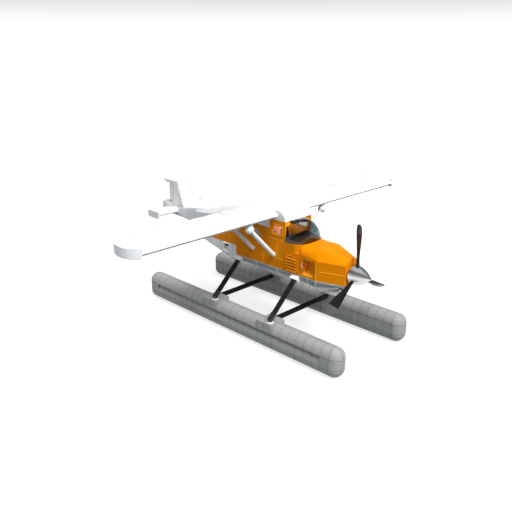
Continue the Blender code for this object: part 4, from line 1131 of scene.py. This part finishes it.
# %% Tail cone
bm = copied("tail_cone")
for side in SIDES.values():
    hollow = [(2.4, 5.86), (1.72, 5.86), (1.70, 5.52), (2.10, 4.95), (2.4, 4.95)]
    bm = carved(bm, prism([(side * y, z) for y, z in hollow], "X", -17.93, -17.07))
    bm = carved(bm, rod((-16.5, side * 2.33, 4.62), (-16.5, side * 2.33, 5.9), 0.45, 40))
bm = eased(bm, 0.02)
for station in (-18.5, -20.05, -23.3, -25.1, -28.2):
    score(bm, "X", station, width=0.04, depth=0.015)
piece("tail_cone_skin", bm, [white, seam_grey], body_of("tail_cone"), ["tail_cone"])
hinges = []
for x in (-28.55, -28.8, -29.05, -29.3):
    hinges.append(eased(rod((x, -0.42, 8.135), (x, 0.42, 8.135), 0.045, 20), 0.01, 1))
for y in (-0.62, 0.62):
    hinges.append(eased(box((-29.35, y - 0.14, 8.085), (-28.5, y + 0.14, 8.2)), 0.03, 2))
piece("tail_hinge_rods", merged(hinges), white, body_of("tail_cone"))
# Four black blocks under each scoop's top edge are painted shade for its dark mouth.
for name, side in SIDES.items():
    shade_blocks = [eased(box((x, min(side * 1.722, side * 1.765), 5.50), (x + 0.18, max(side * 1.722, side * 1.765), 5.84)),
                   0.012, 2) for x in (-17.90, -17.70, -17.50, -17.30)]
    piece(f"tail_scoop_painted_shade_{name}", merged(shade_blocks), black_and_painted_shade, body_of("tail_cone"))
print("tail cone made")

# %% [markdown]
# ## Wing braces
# Each brace is a round bar between a pad on the cabin's side and a ball under the wing.

# %% Wing braces
for name, side in SIDES.items():
    for end, x in (("front", -10.45), ("rear", -13.38)):
        node = f"wing_strut_{end}_{name}"
        foot = Vector((x, side * 2.12, 6.38))
        top = Vector((x, side * 5.41, 9.68))
        along = (top - foot).normalized()
        pad = turned([(side * 2.001, 0.24), (side * 2.03, 0.25), (side * 2.08, 0.25), (side * 2.12, 0.23),
                      (side * 2.12, 0.05)], (x, 6.38), "Y")
        bar = tube([foot, foot + along * 0.02, foot + along * 0.06, foot + along * 0.14, top - along * 0.2, top],
                   [0.17, 0.20, 0.215, 0.22, 0.22, 0.22], circle(32))
        globe = turned([(9.68 - 0.44 * math.cos(math.pi * i / 24), 0.44 * math.sin(math.pi * i / 24))
                        for i in range(1, 24)], (x, side * 5.41), "Z")
        post = rod((x, side * 5.41, 9.7), (x, side * 5.41, 10.24), 0.25)
        collar = turned([(10.06, 0.2), (10.06, 0.3), (10.09, 0.33), (10.19, 0.33), (10.2, 0.2)],
                        (x, side * 5.41), "Z")
        piece(f"brace_{end}_{name}", merged([pad, bar, globe, post, collar]), white, body_of(node), [node])
print("braces made")

# %% [markdown]
# ## Propeller
# The spinner is turned in chrome. The blades are black with glossier caps in a lighter grey, painted sheen for
# the gloss on their tips, and ride with it on the propeller's body.

# %% Spinner and blades
profile = [(-3.29, 0.28), (-2.09, 0.28), (-2.05, 0.93), (-2.03, 0.97)]
for i in range(1, 31):
    t = i / 31.0
    profile.append((-2.03 + 2.07 * t, 0.97 * (1.0 - t ** 2.0)))
profile.append((0.04, 0.03))
spinner = turned(profile, (0.0, 6.0), "X", 96)
piece("spinner_shell", spinner, satin_chrome, body_of("spinner"), ["spinner"])
BLADE = ((0.5, 0.17, 0.17, 50.0), (1.15, 0.17, 0.17, 50.0), (1.4, 0.185, 0.15, 54.0), (1.7, 0.22, 0.13, 58.0),
         (2.1, 0.27, 0.115, 61.0), (2.6, 0.34, 0.10, 63.0), (3.05, 0.405, 0.09, 64.0), (3.5, 0.46, 0.08, 65.0),
         (4.05, 0.505, 0.066, 65.7))
TIP = ((4.05, 0.51, 0.07, 65.7), (4.2, 0.52, 0.062, 66.0), (4.5, 0.505, 0.05, 66.0), (4.72, 0.45, 0.045, 66.0),
       (4.86, 0.37, 0.036, 66.0), (4.93, 0.27, 0.028, 66.0), (4.975, 0.14, 0.02, 66.0))


def blade_part(stations, swing):
    out = Vector((0.0, math.cos(swing), math.sin(swing)))
    across = Vector((0.0, -math.sin(swing), math.cos(swing)))
    axle = Vector((1.0, 0.0, 0.0))
    centre = Vector((-1.6, 0.0, 6.0))
    rings = []
    for radius, chord, thick, pitch in stations:
        turn = math.radians(pitch)
        wide = across * math.cos(turn) + axle * math.sin(turn)
        deep = axle * math.cos(turn) - across * math.sin(turn)
        rings.append([tuple(centre + out * radius + wide * chord * u + deep * thick * v) for u, v in circle(28)])
    return loft(rings)


for number, angle in enumerate((91.0, 211.0, 331.0), start=1):
    node = f"propeller_blade_{number}"
    piece(f"blade_{number}", blade_part(BLADE, math.radians(angle)), blade_black, body_of(node), [node])
    piece(f"blade_tip_{number}", blade_part(TIP, math.radians(angle)), glossy_tip_painted_sheen, body_of(node))
print("propeller made")

# %% [markdown]
# ## Engine block
# The engine stays a plain ribbed casting.

# %% Engine block
cooling = [eased(box((x, -0.98, 5.4), (x + 0.08, 0.98, 6.8)), 0.02, 1) for x in (-6.8 + 0.3 * k for k in range(11))]
piece("engine_casting", merged([eased(copied("engine_block"), 0.04)] + cooling), cast, body_of("engine_block"),
      ["engine_block"])
print("engine made")

# %% [markdown]
# ## Cushions
# A cushion is a closed leather bag with pressure inside. Each starts as a slightly small slab, is remeshed into
# even squares, and is inflated by the cloth solver without gravity. How far a point may move is capped, so the
# cushion stays in its place. Sewn channels are pressed in afterwards, since the remesh would rub them out.

# %% Cushion maker


def cushion(name, low, high, body, channels=(), cap=0.022, lean=0.0):
    """A leather pad between two corners in modules; lean shifts its top towards the rear."""
    slack = 0.05
    start = eased(box([v + slack for v in low], [v - slack for v in high]), 0.09, 3)
    holder = bpy.data.objects.new("pad", bpy.data.meshes.new("pad"))
    bmesh.ops.transform(start, matrix=TO_METRES, verts=start.verts)
    start.to_mesh(holder.data)
    start.free()
    bpy.context.scene.collection.objects.link(holder)
    remesh = holder.modifiers.new("remesh", "REMESH")
    remesh.mode = "VOXEL"
    remesh.voxel_size = 0.012
    even = bpy.data.meshes.new_from_object(holder.evaluated_get(bpy.context.evaluated_depsgraph_get()))
    holder.modifiers.clear()
    holder.data = even
    rest = [v.co.copy() for v in even.vertices]
    cloth = holder.modifiers.new("cloth", "CLOTH")
    cloth.settings.use_pressure = True
    cloth.settings.uniform_pressure_force = 4.0
    cloth.settings.effector_weights.gravity = 0.0
    cloth.settings.quality = 4
    cloth.point_cache.frame_end = 16
    for number in range(1, 17):
        bpy.context.scene.frame_set(number)
    blown = holder.evaluated_get(bpy.context.evaluated_depsgraph_get())
    for v, old, new in zip(even.vertices, rest, blown.data.vertices):
        shift = new.co - old
        v.co = old + shift * min(1.0, cap / max(shift.length, 1e-9))
    holder.modifiers.clear()
    bpy.context.scene.frame_set(1)
    pad = bmesh.new()
    pad.from_mesh(even)
    bpy.data.objects.remove(holder)
    bmesh.ops.transform(pad, matrix=TO_METRES.inverted(), verts=pad.verts)
    pad.normal_update()
    moves = []
    for v in pad.verts:
        dent = 0.0
        for axis, station in channels:
            away = (v.co["XYZ".index(axis)] - station) / 0.035
            dent = max(dent, math.exp(-away * away))
        moves.append(v.normal * (-0.06 * dent))
    for v, move in zip(pad.verts, moves):
        v.co += move
        v.co = Vector([min(max(c, a), b) for c, a, b in zip(v.co, low, high)])
        v.co.x -= lean * (v.co.z - low[2])
    made = piece(name, pad, leather, body, smooth=60.0, weighted=False)
    return made


# %% Seats and bench
for name, side in SIDES.items():
    node = f"seat_{name}"
    inner, outer = sorted((side * 0.3, side * 1.5))
    shell = [eased(box((-11.35, inner + 0.2, 5.171), (-10.5, outer - 0.2, 5.3)), 0.02, 2),
             eased(box((-11.2, inner + 0.3, 5.25), (-10.65, outer - 0.3, 5.7)), 0.03, 2),
             eased(box((-11.6, inner, 5.68), (-10.32, outer, 5.78)), 0.03, 2)]
    back = [(-11.60, 6.0), (-11.52, 6.0), (-11.67, 8.28), (-11.75, 8.28)]
    shell.append(eased(prism(back, "Y", inner + 0.02, outer - 0.02), 0.02, 2))
    piece(f"seat_shell_{name}", merged(shell), fitting, body_of(node), [node])
    cushion(f"seat_cushion_{name}", (-11.3, inner, 5.78), (-10.3, outer, 6.15), body_of(node),
            [("Y", side * 0.6), ("Y", side * 1.2)])
    cushion(f"seat_back_{name}", (-11.5, inner, 6.02), (-11.27, outer, 7.62), body_of(node),
            [("Y", side * 0.6), ("Y", side * 1.2), ("Z", 6.9)], lean=0.065)
    cushion(f"seat_head_{name}", (-11.6, inner + 0.25, 7.68), (-11.38, outer - 0.25, 8.28), body_of(node), lean=0.065)
node = "bench_rear"
shell = [eased(box((-15.25, -1.4, 5.171), (-14.5, 1.4, 5.7)), 0.04, 2),
         eased(box((-15.5, -1.6, 5.68), (-14.32, 1.6, 5.78)), 0.03, 2),
         eased(prism([(-15.50, 6.0), (-15.42, 6.0), (-15.57, 7.98), (-15.65, 7.98)], "Y", -1.58, 1.58), 0.02, 2)]
piece("bench_shell", merged(shell), fitting, body_of(node), [node])
cushion("bench_cushion", (-15.2, -1.6, 5.78), (-14.3, 1.6, 6.15), body_of(node),
        [("Y", y) for y in (-1.07, -0.53, 0.0, 0.53, 1.07)])
cushion("bench_back", (-15.4, -1.6, 6.02), (-15.17, 1.6, 7.9), body_of(node),
        [("Y", y) for y in (-1.07, -0.53, 0.0, 0.53, 1.07)], lean=0.065)
print("seats made")

# %% [markdown]
# ## Instrument panel and yokes
# Round dials with white faces, plain ticks and one needle each sit in a dark panel, over a row of toggles. The
# unit on the ceiling carries three levers.

# %% Instrument panel
node = "instrument_panel"
piece("panel_body", eased(copied(node), 0.03), fitting, body_of(node), [node])
bezels, faces, needles, toggles = [], [], [], []
for k, (y, z, radius) in enumerate([(y, 8.06, 0.2) for y in (-1.35, -0.85, -0.35, 0.35, 0.85, 1.35)]
                                   + [(y, 7.68, 0.14) for y in (-1.5, -0.3, 0.0, 0.3, 1.5)]):
    bezels.append(turned([(-9.301, radius), (-9.345, radius), (-9.35, radius - 0.02), (-9.34, radius - 0.04),
                          (-9.301, radius - 0.05)], (y, z), "X", 28))
    faces.append(turned([(-9.302, radius - 0.045), (-9.312, radius - 0.045)], (y, z), "X", 28))
    aim = 0.7 + 1.3 * k
    tip = (y + (radius - 0.07) * math.cos(aim), z + (radius - 0.07) * math.sin(aim))
    wide = (0.012 * math.sin(aim), -0.012 * math.cos(aim))
    needles.append(prism([(y - wide[0], z - wide[1]), (y + wide[0], z + wide[1]), tip], "X", -9.322, -9.316))
    for n in range(10):
        a = math.radians(-120.0 + 26.6 * n + 90.0)
        at_tick = (y + (radius - 0.065) * math.cos(a), z + (radius - 0.065) * math.sin(a))
        needles.append(box((-9.318, at_tick[0] - 0.006, at_tick[1] - 0.006),
                           (-9.313, at_tick[0] + 0.006, at_tick[1] + 0.006)))
for k in range(9):
    y = -0.72 + 0.18 * k
    if min(abs(y - 0.9), abs(y + 0.9)) > 0.2:
        toggles.append(rod((-9.30, y, 7.47), (-9.38, y, 7.5), 0.016, 10, 0.022))
piece("panel_bezels", merged(bezels + toggles), chrome, body_of(node))
piece("panel_faces", merged(faces), dial_white, body_of(node))
piece("panel_needles", merged(needles), joint_dark, body_of(node))
node = "overhead_unit"
levers = [rod((-9.75, y, 9.41), (-9.8, y, 9.3), 0.03, 16, 0.045) for y in (-0.2, 0.0, 0.2)]
ridges = [eased(box((-9.906, -0.3, z), (-9.89, 0.3, z + 0.05)), 0.006, 1) for z in (9.5, 9.62, 9.74, 9.86)]
piece("overhead_body", merged([eased(copied(node), 0.04)] + levers + ridges), fitting, body_of(node),
      [node])
print("panel made")
